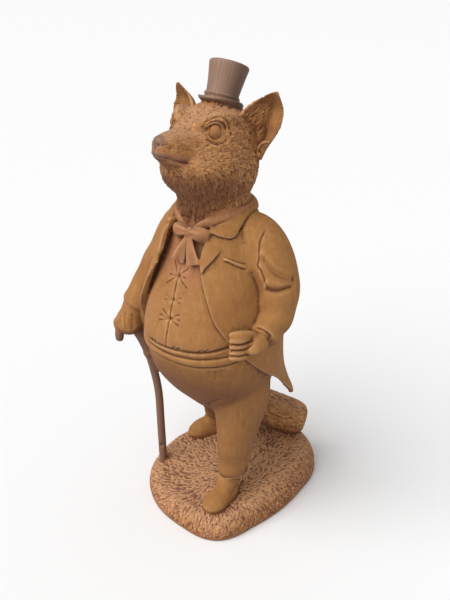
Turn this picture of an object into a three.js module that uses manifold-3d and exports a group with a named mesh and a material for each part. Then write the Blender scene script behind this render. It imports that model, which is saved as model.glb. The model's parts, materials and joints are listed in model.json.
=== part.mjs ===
// A cast iron garden figure: a stout fox in a tail coat, waistcoat and top hat.
// It stands on a grassy mound and leans on a walking cane.
// The whole figure is one casting, so it is one solid, worked up from many joined forms.
// Millimetres, +Z up. The fox looks along -Y, and +X is its own left.
// The origin is the middle of the mound's flat underside.

import * as THREE from 'three';
import { mergeVertices } from 'three/addons/utils/BufferGeometryUtils.js';
import Module from 'manifold-3d';

const wasm = await Module();
wasm.setup();

// The fox's height from the grass at its front foot to the crown of its hat.
const FIGURE_HEIGHT = 420;

// The mound.
const MOUND_RADIUS = 84;
const MOUND_HEIGHT = 20;
const MOUND_RISE = 17;
const MOUND_EDGE = 15;

// The cane.
const CANE_DIAMETER = 8.4;
const CANE_KNOT = 3;
const CANE_SINK = 6;

// The clothes.
const COAT_CLOTH = 3.5;
const LAPEL_CLOTH = 3;
const SASH_CLOTH = 2.2;
const BUTTON_RADIUS = 2.6;

// The hat.
const HAT_BRIM_RADIUS = 20.5;
const HAT_BRIM_CLOTH = 2.6;
const HAT_CROWN_RADIUS = 13.2;
const HAT_TOP_RADIUS = 17.4;
const HAT_CROWN_HEIGHT = 35;
const HAT_BAND_HEIGHT = 9;
const HAT_BAND_CLOTH = 1.1;

// The fox stands a little in front of the mound's middle.
const FIGURE_X = -4;
const FIGURE_Y = -18;

// The figure's own measures are shares of its height, written for a fox of this height.
const DRAWN_HEIGHT = 420;
const UNIT = FIGURE_HEIGHT / DRAWN_HEIGHT;

const { lerp, smoothstep, degToRad, clamp } = THREE.MathUtils;
const vec = (x, y, z) => new THREE.Vector3(x, y, z);
const bump = (x, middle, reach) => Math.exp(-(((x - middle) / reach) ** 2));

// A smooth line through stations. A row is [key, value, value, ...], and the keys rise.
function through(rows) {
  const slope = (i, k) => {
    const a = rows[Math.max(i - 1, 0)];
    const b = rows[Math.min(i + 1, rows.length - 1)];
    return (b[k] - a[k]) / (b[0] - a[0]);
  };
  return (key) => {
    const x = clamp(key, rows[0][0], rows[rows.length - 1][0]);
    let i = 0;
    while (i < rows.length - 2 && x > rows[i + 1][0]) i++;
    const width = rows[i + 1][0] - rows[i][0];
    const t = (x - rows[i][0]) / width;
    return rows[i].slice(1).map((_, n) => {
      const k = n + 1;
      return (
        (2 * t ** 3 - 3 * t ** 2 + 1) * rows[i][k] +
        (t ** 3 - 2 * t ** 2 + t) * width * slope(i, k) +
        (3 * t ** 2 - 2 * t ** 3) * rows[i + 1][k] +
        (t ** 3 - t ** 2) * width * slope(i + 1, k)
      );
    });
  };
}

// A closed three.js geometry as a solid, with its faces turned outwards.
function solid(geometry) {
  geometry.deleteAttribute('normal');
  geometry.deleteAttribute('uv');
  const merged = mergeVertices(geometry, 1e-4);
  const p = merged.attributes.position;
  const index = merged.index.array;
  const [a, b, c] = [vec(0, 0, 0), vec(0, 0, 0), vec(0, 0, 0)];
  const faces = [];
  let volume = 0;
  for (let i = 0; i < index.length; i += 3) {
    const [n, m, o] = index.slice(i, i + 3);
    if (n === m || m === o || o === n) continue;
    faces.push(n, m, o);
    a.fromBufferAttribute(p, n);
    b.fromBufferAttribute(p, m);
    c.fromBufferAttribute(p, o);
    volume += a.dot(b.cross(c));
  }
  if (volume < 0) faces.reverse();
  const mesh = new wasm.Mesh({ numProp: 3, vertProperties: p.array, triVerts: Uint32Array.from(faces) });
  return new wasm.Manifold(mesh);
}

// A ball whose rings are slid and shaped by place(turn, travel).
// Turn goes once around from 0 to 1, and travel goes from pole to pole.
function wrapped(columns, rows, place) {
  const geometry = new THREE.SphereGeometry(1, columns, rows);
  for (let row = 0; row <= rows; row++) {
    for (let column = 0; column <= columns; column++) {
      const pole = row === 0 || row === rows;
      const turn = pole ? 0 : (column % columns) / columns;
      const p = place(turn, row / rows);
      geometry.attributes.position.setXYZ(row * (columns + 1) + column, p.x, p.y, p.z);
    }
  }
  return solid(geometry);
}

// A plate bent from a flat box by place(across, along, side), where side is 0 inside and 1 outside.
function bent(columns, rows, place) {
  const geometry = new THREE.BoxGeometry(1, 1, 1, columns, rows, 1);
  const position = geometry.attributes.position;
  for (let i = 0; i < position.count; i++) {
    const p = place(position.getX(i) + 0.5, position.getY(i) + 0.5, position.getZ(i) + 0.5);
    position.setXYZ(i, p.x, p.y, p.z);
  }
  return solid(geometry);
}

// How full a form is at a share of its length: round ends for a blunt of 2, square ones for more.
const fullness = (travel, blunt) => (1 - Math.abs(2 * travel - 1) ** blunt) ** (1 / blunt);
const spread = (travel) => (1 - Math.cos(Math.PI * travel)) / 2;

// A limb along a curve through points. Girth rows are [share, half width, half depth].
// The width lies across the curve and the given direction, and relief(turn, share) raises the skin.
// Girths grow with the fox, unless their unit says that they are set sizes.
const LIMB = { columns: 14, rows: 10, across: vec(0, 1, 0), blunt: 5, relief: () => 0, unit: UNIT };

function limb(points, girth, options = {}) {
  const { columns, rows, across, blunt, relief, unit } = { ...LIMB, ...options };
  const line = new THREE.CatmullRomCurve3(points, false, 'centripetal');
  const size = through(girth);
  return wrapped(columns, rows, (turn, travel) => {
    const share = spread(travel);
    const along = line.getTangent(share);
    const side = vec(0, 0, 0).crossVectors(along, across).normalize();
    const depth = vec(0, 0, 0).crossVectors(side, along);
    const [w, d] = size(share);
    const full = fullness(share, blunt);
    const angle = turn * 2 * Math.PI;
    const lift = relief(turn, share);
    return line
      .getPoint(share)
      .addScaledVector(side, Math.cos(angle) * (w + lift) * full * unit)
      .addScaledVector(depth, Math.sin(angle) * (d + lift) * full * unit);
  });
}

// An egg at a place, with its three radii, turned by Euler angles in degrees.
function egg(centre, radii, turned = [0, 0, 0], columns = 14, rows = 9) {
  const geometry = new THREE.SphereGeometry(1, columns, rows);
  geometry.scale(...radii);
  const euler = new THREE.Euler(...turned.map(degToRad));
  geometry.applyMatrix4(new THREE.Matrix4().makeRotationFromEuler(euler));
  geometry.translate(centre.x, centre.y, centre.z);
  return solid(geometry);
}

const join = (...forms) => forms.flat().reduce((whole, form) => whole.add(form));

// A point of the fox, in drawn millimetres from the grass under the middle of its body.
const at = (x, y, z) => vec(x * UNIT + FIGURE_X, y * UNIT + FIGURE_Y, z * UNIT + MOUND_HEIGHT);

// MOUND

// How far the mound reaches in each direction, as shares of its radius, every 30 degrees from -X.
const MOUND_REACH = [1, 1.03, 1, 0.98, 1.03, 0.83, 0.79, 0.9, 1.2, 1.27, 1.12, 0.95];

function moundReach(angle) {
  const count = MOUND_REACH.length;
  const turn = (((angle + Math.PI) / (2 * Math.PI)) * count + count) % count;
  const i = Math.floor(turn);
  const t = turn - i;
  const [a, b, c, d] = [-1, 0, 1, 2].map((n) => MOUND_REACH[(i + n + count) % count]);
  const bend = (2 * a - 5 * b + 4 * c - d) * t ** 2 + (3 * b - a - 3 * c + d) * t ** 3;
  return MOUND_RADIUS * (b + ((c - a) * t + bend) / 2);
}

// The grass height over the underside: level at the front, and rising to the back.
function grass(x, y) {
  const reach = moundReach(Math.atan2(y, x));
  const share = Math.min(Math.hypot(x, y) / reach, 1);
  const slope = MOUND_RISE * smoothstep(y, -0.7 * MOUND_RADIUS, 0.5 * MOUND_RADIUS);
  const inside = Math.max(0, reach * (1 - share));
  const edge = inside < MOUND_EDGE ? Math.sqrt(1 - (1 - inside / MOUND_EDGE) ** 2) : 1;
  return lerp(MOUND_HEIGHT * 0.3, MOUND_HEIGHT + slope * (1 - 0.35 * share ** 4), edge);
}

// Rings of the mound from the middle of its underside, over its edge, to the middle of its top.
const MOUND_RINGS = [0, 0.985, 1, 0.96, 0.88, 0.65, 0.35, 0];

function mound() {
  const last = MOUND_RINGS.length - 1;
  return wrapped(30, last, (turn, travel) => {
    const ring = Math.round(travel * last);
    const angle = turn * 2 * Math.PI - Math.PI;
    const reach = moundReach(angle) * MOUND_RINGS[ring];
    const [x, y] = [Math.cos(angle) * reach, Math.sin(angle) * reach];
    return vec(x, y, ring < 2 ? 0 : grass(x, y));
  });
}

// BODY

// Rows of the body: height, half width, depth in front and depth behind.
const bodyGirth = through([
  [96, 20, 18, 22],
  [106, 36, 27, 34],
  [122, 51, 42, 42],
  [145, 60, 58, 47],
  [168, 62, 66, 49],
  [186, 61.5, 66.5, 49],
  [205, 60, 64, 48],
  [222, 57, 59, 46],
  [240, 53, 51.5, 43],
  [258, 47, 43, 39],
  [276, 41, 35, 34],
  [290, 34, 31, 31],
  [303, 31, 29, 30],
]);

// A point on the body at a heading in degrees, 0 in front and 90 on its left, raised by lift.
function onBody(heading, height, lift = 0, girth = bodyGirth) {
  const [w, front, back] = girth(height);
  const angle = degToRad(heading);
  const [s, c] = [Math.sin(angle), Math.cos(angle)];
  const depth = c > 0 ? front : back;
  const roundness = 2.2;
  const r = 1 / (Math.abs(s / w) ** roundness + Math.abs(c / depth) ** roundness) ** (1 / roundness);
  return at(s * (r + lift), -c * (r + lift), height);
}

function trunk() {
  const [low, high] = [96, 303];
  return wrapped(26, 14, (turn, travel) => {
    const height = lerp(low, high, spread(travel));
    if (travel === 0 || travel === 1) return at(0, 0, height);
    const heading = turn * 360 - 180;
    const paunch = 2 * smoothstep(height, 186, 191) * (1 - smoothstep(height, 192, 236));
    return onBody(heading, height, paunch);
  });
}

// The pleated sash between the waistcoat and the trousers.
function sash() {
  return bent(14, 4, (across, along, side) => {
    const heading = lerp(-84, 84, across);
    const pleat = 0.9 * Math.abs(Math.sin(along * 2 * Math.PI));
    const height = lerp(172, 185, along) + 5 * Math.sin(degToRad(heading));
    return onBody(heading, height, lerp(-3, SASH_CLOTH + pleat, side));
  });
}

// A button with the creases that pull away from it.
function button(height, pull) {
  const creases = [-62, -24, 24, 62, 150, 210].map((angle) => {
    const out = (r) => {
      const [across, up] = [Math.sin(degToRad(angle)) * r, Math.cos(degToRad(angle)) * r];
      return onBody(across, height + up, 0.8 - 0.06 * r);
    };
    const girth = [[0, 1.3, 1.3], [1, 1, 1]];
    return limb([out(2), out(pull * 0.5), out(pull)], girth, { columns: 4, rows: 2 });
  });
  const ball = [BUTTON_RADIUS, BUTTON_RADIUS, BUTTON_RADIUS];
  return join(egg(onBody(0, height, 1.4), ball, [0, 0, 0], 6, 4), creases);
}

// COAT

const coatGirth = through([
  [90, 70, 60, 82],
  [106, 69, 60, 79],
  [121, 66, 60, 70],
  [135, 65, 62, 62],
  [149, 65.5, 64, 57],
  [168, 66, 70, 54],
  [186, 66, 72, 53],
  [205, 64.5, 70, 52],
  [222, 61.5, 64.5, 50],
  [240, 57.5, 57, 47],
  [258, 52, 48.5, 43.5],
  [276, 46, 41, 39],
  [290, 39, 37, 35],
  [302, 31, 33, 32],
]);

// The coat's upper edge by heading, from the closing button round to the neck.
const coatTop = through([
  [26, 254],
  [28, 266],
  [31, 277],
  [36, 288],
  [55, 294],
  [80, 297],
  [120, 302],
  [180, 304],
]);

// The coat's lower edge by heading, cut away to the tails.
const coatHem = through([
  [26, 251],
  [32, 234],
  [39, 214],
  [50, 196],
  [62, 178],
  [73, 165],
  [84, 154],
  [112, 130],
  [137, 98],
  [150, 93],
  [168, 93],
  [180, 97],
]);

const coatPoint = (heading, height, lift) => onBody(heading, height, lift, coatGirth);

function coat() {
  const front = 26;
  return bent(22, 8, (across, along, side) => {
    const heading = lerp(front, 360 - front, across);
    const away = heading > 180 ? 360 - heading : heading;
    const height = lerp(coatHem(away)[0], coatTop(away)[0], along);
    const hang = smoothstep(height, 150, 185);
    const fold = 1.4 * Math.sin(degToRad(heading * 9)) * (1 - smoothstep(height, 120, 190));
    const vent = -4 * bump(heading, 180, 5) * (1 - smoothstep(height, 150, 200));
    return coatPoint(heading, height, lerp(lerp(-COAT_CLOTH, -8, hang), fold + vent, side));
  });
}

// A lapel lies on the coat along its front edge. Side is 1 on the left and -1 on the right.
function lapel(side) {
  const edge = through([[0, 25, 252], [0.35, 26.5, 266], [0.65, 30, 277], [1, 36, 286]]);
  const roll = through([[0, 28, 252], [0.35, 38, 263], [0.65, 49, 272], [0.8, 53, 275], [1, 50, 281]]);
  return bent(2, 6, (across, along, out) => {
    const [h1, z1] = edge(along);
    const [h2, z2] = roll(along);
    return coatPoint(side * lerp(h1, h2, across), lerp(z1, z2, across), lerp(-3, LAPEL_CLOTH, out));
  });
}

// The collar stands round the neck and folds down over the shoulders.
function collar() {
  const edge = through([[36, 289, 38], [55, 293, 36.5], [75, 297, 35], [120, 303, 33], [180, 306, 33]]);
  const fall = through([
    [36, 284, 41],
    [55, 283, 43],
    [70, 286, 42.5],
    [92, 292, 40],
    [122, 296, 37],
    [180, 297, 37],
  ]);
  return bent(18, 2, (across, along, side) => {
    const heading = lerp(38, 322, across);
    const away = heading > 180 ? 360 - heading : heading;
    const [z1, r1] = fall(away);
    const [z2, r2] = edge(away);
    const r = lerp(r1, r2, along) + 1.2 * Math.sin(along * Math.PI) + lerp(-6, 0.6, side);
    const angle = degToRad(heading);
    return at(Math.sin(angle) * r - 1, -Math.cos(angle) * r - 1, lerp(z1, z2, along));
  });
}

// The welt of the breast pocket.
function pocket() {
  return bent(3, 1, (across, along, side) => {
    const heading = lerp(47, 70, across);
    const height = lerp(266, 260, across) + lerp(-2.4, 2.4, along);
    return coatPoint(heading, height, lerp(-3, 2.2, side));
  });
}

// NECKWEAR

function cravat() {
  const upper = through([[0, 284], [25, 294.5], [45, 298], [65, 300.5], [90, 303], [180, 305]]);
  return bent(18, 2, (across, along, side) => {
    const heading = across * 352 + 4;
    const away = heading > 180 ? 360 - heading : heading;
    const height = upper(away)[0] + lerp(-9, 0, along);
    const r = 32.5 + lerp(-5, 1.6 + 1.2 * Math.sin(along * Math.PI), side);
    const angle = degToRad(heading);
    return at(Math.sin(angle) * r - 1, -Math.cos(angle) * r - 1, height);
  });
}

function bow() {
  const knot = at(1, -36, 282);
  const loopGirth = [[0, 2.5, 3], [0.5, 6, 3.8], [1, 8, 3.6]];
  const endGirth = [[0, 2.2, 2], [0.5, 4, 2.4], [1, 6, 3]];
  const loop = (s) =>
    limb([knot, at(1 + s * 9, -37, 284), at(1 + s * 18, -31, 283)], loopGirth, { columns: 7, rows: 5 });
  const end = (s, drop) => {
    const places = [knot, at(2 + s * 3, -42, 272), at(3 + s * 6, -46, 283 - drop)];
    return limb(places, endGirth, { columns: 6, rows: 4, blunt: 8 });
  };
  const tie = [3.8, 3.6, 4.4].map((r) => r * UNIT);
  return join(egg(knot, tie, [0, 0, 0], 8, 6), loop(1), loop(-1), end(-1, 22), end(1, 28));
}

// ARMS

// A sleeve with folds that ring it at the elbow.
function sleeve(points, girth) {
  const relief = (turn, share) =>
    1.3 * Math.sin(share * 34 + 2 * Math.cos(turn * 2 * Math.PI)) * bump(share, 0.6, 0.2);
  return limb(points, girth, { columns: 12, rows: 11, across: vec(0, 1, 0.2), relief, blunt: 7 });
}

function leftSleeve() {
  const shoulder = [at(24, 4, 284), at(46, 4, 275), at(62, 3, 253)];
  const elbow = [at(68.5, 2, 232), at(68, -3, 212), at(67, -12, 202), at(69, -21, 197)];
  return sleeve(
    [...shoulder, ...elbow],
    [[0, 18, 18], [0.25, 20.5, 20.5], [0.5, 18, 18], [0.7, 16.5, 16.5], [0.85, 14.5, 14.5], [1, 15.5, 15.5]],
  );
}

function rightSleeve() {
  const shoulder = [at(-20, 0, 276), at(-39, -1, 270), at(-51, -4, 251)];
  const elbow = [at(-64, -9, 228), at(-74, -17, 205), at(-84, -29, 178)];
  return sleeve(
    [...shoulder, ...elbow],
    [[0, 18, 18], [0.25, 19, 19], [0.5, 17, 17], [0.7, 15.5, 15.5], [0.88, 15, 15], [1, 19, 19]],
  );
}

// A hand is a palm with four fingers and a thumb. Each digit is a list of three places.
function hand(palm, digits, thick) {
  const girth = [[0, thick, thick], [1, thick * 0.85, thick * 0.85]];
  const fingers = digits.map((places) =>
    limb(places.map((p) => at(...p)), girth, { columns: 5, rows: 3, blunt: 3 }),
  );
  return join(palm, fingers);
}

function leftHand() {
  const places = [at(69, -18, 199), at(68, -30, 195), at(65, -41, 193)];
  const girth = [[0, 9, 9], [0.6, 8, 11.5], [1, 6, 11]];
  const palm = limb(places, girth, { columns: 8, rows: 5, across: vec(1, 0, 0), blunt: 3 });
  const digits = [203, 197.5, 192, 187].map((z) => [
    [67, -36, z],
    [63, -46, z],
    [56, -50, z - 1],
  ]);
  const thumb = [[68, -28, 204], [62, -41, 207], [54, -48, 206]];
  return hand(palm, [...digits, thumb], 3.7);
}

function rightHand() {
  const palm = egg(at(-84, -33, 167), [11.5, 14, 12].map((r) => r * UNIT), [0, 0, 8], 10, 6);
  const digits = [-10, -4, 2, 8].map((y) => [
    [-80, -34 + y, 177],
    [-93, -34 + y, 171],
    [-89, -34 + y, 159],
  ]);
  const thumb = [[-78, -24, 172], [-73, -34, 168], [-76, -44, 164]];
  const wristGirth = [[0, 10, 10], [1, 10, 10]];
  const wrist = limb([at(-82, -27, 188), at(-84, -33, 166)], wristGirth, { columns: 8, rows: 3 });
  return join(wrist, hand(palm, [...digits, thumb], 4));
}

// CANE

function cane() {
  const r = CANE_DIAMETER / 2;
  const foot = at(-61, -16, 0);
  foot.z = grass(foot.x, foot.y) - CANE_SINK;
  const straight = [foot, at(-63, -15.5, 45), at(-65, -15.5, 88)];
  const bowed = [at(-69, -18.5, 118), at(-72.5, -21.5, 136), at(-76.5, -25, 151), at(-82, -30, 165)];
  const handle = [at(-81, -27, 166), at(-84, -33, 170), at(-88, -41, 165), at(-89, -43, 149)];
  const knots = (turn, share) => CANE_KNOT * bump(share, 0.63, 0.025) * (0.4 + 0.6 * bump(turn, 0.1, 0.2));
  const shaftGirth = [[0, r, r], [0.6, r, r], [0.75, r * 1.2, r * 1.2], [1, r * 1.4, r * 1.4]];
  const handleGirth = [[0, r, r], [1, r * 1.1, r * 1.1]];
  return join(
    limb([...straight, ...bowed], shaftGirth, { columns: 8, rows: 14, blunt: 20, relief: knots, unit: 1 }),
    limb(handle, handleGirth, { columns: 7, rows: 5, across: vec(1, 0, 0), blunt: 6, unit: 1 }),
  );
}

// The web of metal that ties the cane to the coat.
function web() {
  const places = [at(-62, -14, 110), at(-65, -17, 130), at(-69, -21, 158), at(-73, -24, 176)];
  return limb(places, [[0, 3, 3], [0.5, 9, 5], [1, 11, 7]], { columns: 8, rows: 5, blunt: 4 });
}

// LEGS

// A trouser leg from the hip to the hem. Its last place is lifted over the grass.
function leg(places, girth) {
  const points = places.map((p) => at(...p));
  const hem = points[points.length - 1];
  hem.z += grass(hem.x, hem.y) - MOUND_HEIGHT;
  const creases = (turn, share) => 1.1 * Math.sin(share * 24 + 4 * turn) * bump(share, 0.86, 0.12);
  return limb(points, girth, { columns: 12, rows: 9, blunt: 14, relief: creases });
}

const leftLeg = () =>
  leg(
    [[27, 2, 128], [31, -1, 104], [32.5, -6, 84], [32.5, -10, 58], [31, -13, 27]],
    [[0, 31, 33], [0.25, 26, 28], [0.45, 21.5, 23], [0.7, 17.5, 19], [0.9, 15, 16], [1, 15.5, 16.5]],
  );

const rightLeg = () =>
  leg(
    [[-26, 8, 128], [-29, 24, 96], [-32, 37, 70], [-37, 48, 27]],
    [[0, 31, 33], [0.3, 23, 25], [0.55, 18, 19], [0.85, 15, 16], [1, 15.5, 16.5]],
  );

// A shoe from its heel to its toe, with the ankle that rises into the trousers.
function shoe(heel, toe) {
  const rest = (share, lift) => {
    const p = at(lerp(heel[0], toe[0], share), lerp(heel[1], toe[1], share), 0);
    p.z = grass(p.x, p.y) + lift * UNIT;
    return p;
  };
  const sole = [rest(0, 7), rest(0.5, 6), rest(1, 3.5)];
  const footGirth = [[0, 12, 12], [0.45, 13, 12], [0.75, 13.5, 9], [1, 11, 6]];
  const ankle = [rest(0.2, 36), rest(0.3, 20), rest(0.5, 4)];
  return join(
    limb(sole, footGirth, { columns: 10, rows: 7, across: vec(0, 0, 1), blunt: 2.6 }),
    limb(ankle, [[0, 12, 12], [1, 12, 12]], { columns: 9, rows: 4, blunt: 5 }),
  );
}

// TAIL

function tail() {
  const points = [at(0, 22, 112), at(-6, 60, 80), at(-4, 84, 46), at(14, 100, 33), at(38, 109, 30)];
  const girth = [[0, 13, 13], [0.35, 17, 17], [0.6, 20, 20], [0.9, 20, 20], [1, 19, 19]];
  const ruffle = (turn, share) => Math.sin(turn * 12 * Math.PI + share * 9);
  return limb(points, girth, { rows: 9, across: vec(0, 0, 1), relief: ruffle });
}

// HEAD

const HEAD_PITCH = degToRad(15);
const HEAD_TURN = degToRad(6);
const HEAD_HEIGHT = 354;

// A point of the head: forward, left and up from the middle of the skull.
// The head lifts its nose and turns a little to its right.
function onHead(forward, left, up) {
  const f = forward * Math.cos(HEAD_PITCH) - up * Math.sin(HEAD_PITCH);
  const u = forward * Math.sin(HEAD_PITCH) + up * Math.cos(HEAD_PITCH);
  const x = left * Math.cos(HEAD_TURN) - f * Math.sin(HEAD_TURN);
  const y = -f * Math.cos(HEAD_TURN) - left * Math.sin(HEAD_TURN);
  return at(x, y, HEAD_HEIGHT + u);
}

// Rows of the head: forward, top, bottom and half width.
const headGirth = through([
  [-36, 6, -6, 8],
  [-30, 19, -24, 22],
  [-18, 28, -36, 32],
  [-5, 31, -40, 36],
  [8, 30, -40, 36],
  [18, 25, -38, 34],
  [26, 18, -35, 29],
  [34, 10.5, -32, 20.5],
  [44, 5, -30, 15.5],
  [54, 1, -26.5, 12.5],
  [60, -2, -23, 10],
  [64, -8, -17, 5],
]);

function skull() {
  return wrapped(22, 14, (turn, travel) => {
    const forward = lerp(-36, 65, spread(travel));
    const [top, bottom, width] = headGirth(forward);
    if (travel === 0 || travel === 1) return onHead(forward, 0, (top + bottom) / 2);
    const angle = turn * 2 * Math.PI;
    const middle = lerp(bottom, top, 0.55);
    const c = Math.cos(angle);
    const s = Math.sin(angle);
    const snout = smoothstep(forward, 24, 40);
    const mouth = 2 * snout * bump(s, -0.62, 0.16);
    const jaw = 1 - 0.25 * snout * smoothstep(-s, 0.3, 0.9);
    const left = c * (width * jaw - mouth);
    return onHead(forward, left, middle + s * (s > 0 ? top - middle : middle - bottom));
  });
}

// The neck's ruff of fur.
function neck() {
  const girth = through([
    [276, 27, 27, 27],
    [300, 29.5, 30, 29],
    [311, 31, 33, 30],
    [319, 36, 42.5, 31],
    [330, 38.5, 49, 34],
    [341, 38.5, 49, 35],
    [350, 37, 38, 34],
    [362, 30, 28, 28],
  ]);
  return wrapped(20, 8, (turn, travel) => {
    const height = lerp(276, 362, spread(travel));
    if (travel === 0 || travel === 1) return at(-1, -2, height);
    const tuft = 1.2 * Math.sin(turn * 20 * Math.PI + height / 4) * smoothstep(height, 290, 305);
    const p = onBody(turn * 360 - 180, height, tuft, girth);
    return vec(p.x - UNIT, p.y - 2 * UNIT, p.z);
  });
}

// The nose and lip, and for each side the brow, eye and lids.
function face() {
  const nose = egg(onHead(60, 0, -6.5), [7, 7.5, 6].map((r) => r * UNIT), [-15, 0, 0], 9, 6);
  const lip = egg(onHead(57, 0, -15.5), [8.5, 9.5, 6].map((r) => r * UNIT), [-15, 0, 0], 9, 6);
  const browGirth = [[0, 3, 3], [0.5, 6, 6], [1, 3, 3]];
  const lidGirth = [[0, 1, 1], [0.5, 1.6, 1.6], [1, 1, 1]];
  const fold = { columns: 6, rows: 5, across: vec(0, 0, 1), blunt: 2 };
  const sides = [1, -1].map((s) => {
    const eye = egg(onHead(24.5, s * 22, 8), [5, 5, 5].map((r) => r * UNIT), [0, 0, 0], 8, 6);
    const arch = [onHead(34, s * 12, 8), onHead(26, s * 24.5, 13.5), onHead(13, s * 33, 11)];
    const lids = [[12.5, 12], [3, 2]].map(([rise, corner]) => {
      const places = [onHead(32, s * 16, 5.5), onHead(26.5, s * 22.5, rise), onHead(18, s * 28, corner)];
      return limb(places, lidGirth, fold);
    });
    return join(eye, limb(arch, browGirth, fold), lids);
  });
  return join(nose, lip, sides);
}

// An ear is a hollow leaf that opens forwards and a little outwards, set out and down by a slip.
const EAR_TURN = degToRad(14);
const EAR_WALL = 3.4;

function ear(side, slip) {
  const middle = through([
    [0, -15.7, 33.7, -9, 3.9],
    [0.2, -11.5, 35.5, 2.2, 9.2],
    [0.4, -7.6, 38.8, 13.2, 14.7],
    [0.6, -0.9, 42.6, 22, 19],
    [0.8, -1.4, 47.2, 34.3, 13.8],
    [0.92, 1.3, 53.6, 43.7, 4.5],
    [1, 0.2, 55.5, 46.1, 0.8],
  ]);
  const [facing, aside] = [Math.cos(EAR_TURN), Math.sin(EAR_TURN)];
  return bent(6, 7, (across, along, out) => {
    const [f, l, u, half] = middle(along);
    const s = 2 * across - 1;
    const hollow = 0.6 * half * (1 - s * s) + EAR_WALL * (1 - out) * (1 - 0.5 * along);
    const forward = f - aside * half * s - facing * hollow;
    const left = l + facing * half * s - aside * hollow;
    return onHead(forward, side * (left + slip), u - slip);
  });
}

// HAT

function hat() {
  const seat = 27.5;
  const [r, top] = [HAT_CROWN_RADIUS, HAT_TOP_RADIUS];
  const wall = (height) => lerp(r, top, (height / HAT_CROWN_HEIGHT) ** 1.6);
  const band = r + HAT_BAND_CLOTH;
  const outline = [
    [0, -5],
    [r, -5],
    [r, 0],
    [HAT_BRIM_RADIUS - 1, 1.2],
    [HAT_BRIM_RADIUS, 2 + HAT_BRIM_CLOTH / 2],
    [HAT_BRIM_RADIUS - 1, 1.2 + HAT_BRIM_CLOTH],
    [band, HAT_BRIM_CLOTH],
    [band, HAT_BAND_HEIGHT],
    [wall(HAT_BAND_HEIGHT), HAT_BAND_HEIGHT],
    [wall(HAT_CROWN_HEIGHT * 0.5), HAT_CROWN_HEIGHT * 0.5],
    [wall(HAT_CROWN_HEIGHT * 0.8), HAT_CROWN_HEIGHT * 0.8],
    [top, HAT_CROWN_HEIGHT - 1.5],
    [top - 1.5, HAT_CROWN_HEIGHT],
    [0, HAT_CROWN_HEIGHT],
  ].map(([x, y]) => new THREE.Vector2(x, y));
  const geometry = new THREE.LatheGeometry(outline, 20);
  geometry.rotateX(Math.PI / 2);
  geometry.rotateX(-HEAD_PITCH - degToRad(7));
  const place = onHead(3, 0, seat);
  geometry.translate(place.x, place.y, place.z);
  return solid(geometry);
}

const casting = join(
  mound(),
  trunk(),
  sash(),
  button(246, 12),
  button(226, 7),
  button(212, 7),
  coat(),
  lapel(1),
  lapel(-1),
  collar(),
  pocket(),
  cravat(),
  bow(),
  leftSleeve(),
  rightSleeve(),
  leftHand(),
  rightHand(),
  cane(),
  web(),
  leftLeg(),
  rightLeg(),
  shoe([31, -4], [32, -47]),
  shoe([-33, 56], [-60, 24]),
  tail(),
  skull(),
  neck(),
  face(),
  ear(1, 0),
  ear(-1, 5),
  hat(),
);

const made = casting.getMesh();
const geometry = new THREE.BufferGeometry();
geometry.setAttribute('position', new THREE.BufferAttribute(new Float32Array(made.vertProperties), 3));
geometry.setIndex(new THREE.BufferAttribute(new Uint32Array(made.triVerts), 1));

const rust = new THREE.MeshStandardMaterial({ color: 0xa06a34, roughness: 0.85, metalness: 0.1 });
const fox = new THREE.Mesh(geometry, rust);
fox.name = 'fox_statue';

const statue = new THREE.Group();
statue.add(fox);

export default statue;
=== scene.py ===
# %% [markdown]
# # A rusted cast iron fox
#
# A garden statue: a stout fox in a tail coat, waistcoat and top hat, who leans on a walking cane
# on a grassy mound. The real one is sculpted in clay, moulded, and cast in iron as a single piece,
# which then rusts all over. This lesson follows the sculptor. Simple forms are shaped and put in
# place, they are melted into one skin, fur and grass and seams are worked into it, and it rusts.

# %% Start from the frame
import json
import math
from functools import partial

import bpy
import numpy as np
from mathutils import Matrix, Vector
from mathutils.kdtree import KDTree

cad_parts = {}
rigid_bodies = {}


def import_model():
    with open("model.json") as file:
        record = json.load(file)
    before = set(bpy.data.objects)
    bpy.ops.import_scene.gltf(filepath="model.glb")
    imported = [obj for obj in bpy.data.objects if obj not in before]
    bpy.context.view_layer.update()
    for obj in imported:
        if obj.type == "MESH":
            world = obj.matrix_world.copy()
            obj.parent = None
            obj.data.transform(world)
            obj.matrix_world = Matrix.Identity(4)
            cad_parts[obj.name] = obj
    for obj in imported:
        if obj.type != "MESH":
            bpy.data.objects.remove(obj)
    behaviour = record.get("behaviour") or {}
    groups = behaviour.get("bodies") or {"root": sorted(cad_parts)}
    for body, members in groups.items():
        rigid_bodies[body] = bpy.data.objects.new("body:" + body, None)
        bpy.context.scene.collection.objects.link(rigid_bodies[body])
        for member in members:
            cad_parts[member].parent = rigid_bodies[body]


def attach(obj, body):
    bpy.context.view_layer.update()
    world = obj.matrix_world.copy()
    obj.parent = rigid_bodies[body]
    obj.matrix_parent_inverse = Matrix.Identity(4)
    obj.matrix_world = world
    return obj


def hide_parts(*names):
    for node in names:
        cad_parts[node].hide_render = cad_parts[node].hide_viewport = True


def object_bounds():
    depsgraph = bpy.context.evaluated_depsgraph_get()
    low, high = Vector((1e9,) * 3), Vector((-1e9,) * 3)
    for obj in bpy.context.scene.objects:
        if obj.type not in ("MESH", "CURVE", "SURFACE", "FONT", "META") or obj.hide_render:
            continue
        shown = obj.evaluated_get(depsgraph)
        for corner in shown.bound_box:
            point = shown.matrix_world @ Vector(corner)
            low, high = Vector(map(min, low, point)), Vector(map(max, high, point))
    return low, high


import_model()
cad_low, cad_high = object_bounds()
print("the frame's box:", [round(x, 4) for x in (*cad_low, *cad_high)])

# %% [markdown]
# ## Measures
#
# The sculptor works in millimetres from the grass under the middle of the fox's body. The fox looks
# along -Y, and +X is its own left. These are the sizes that the whole figure hangs on.

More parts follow.
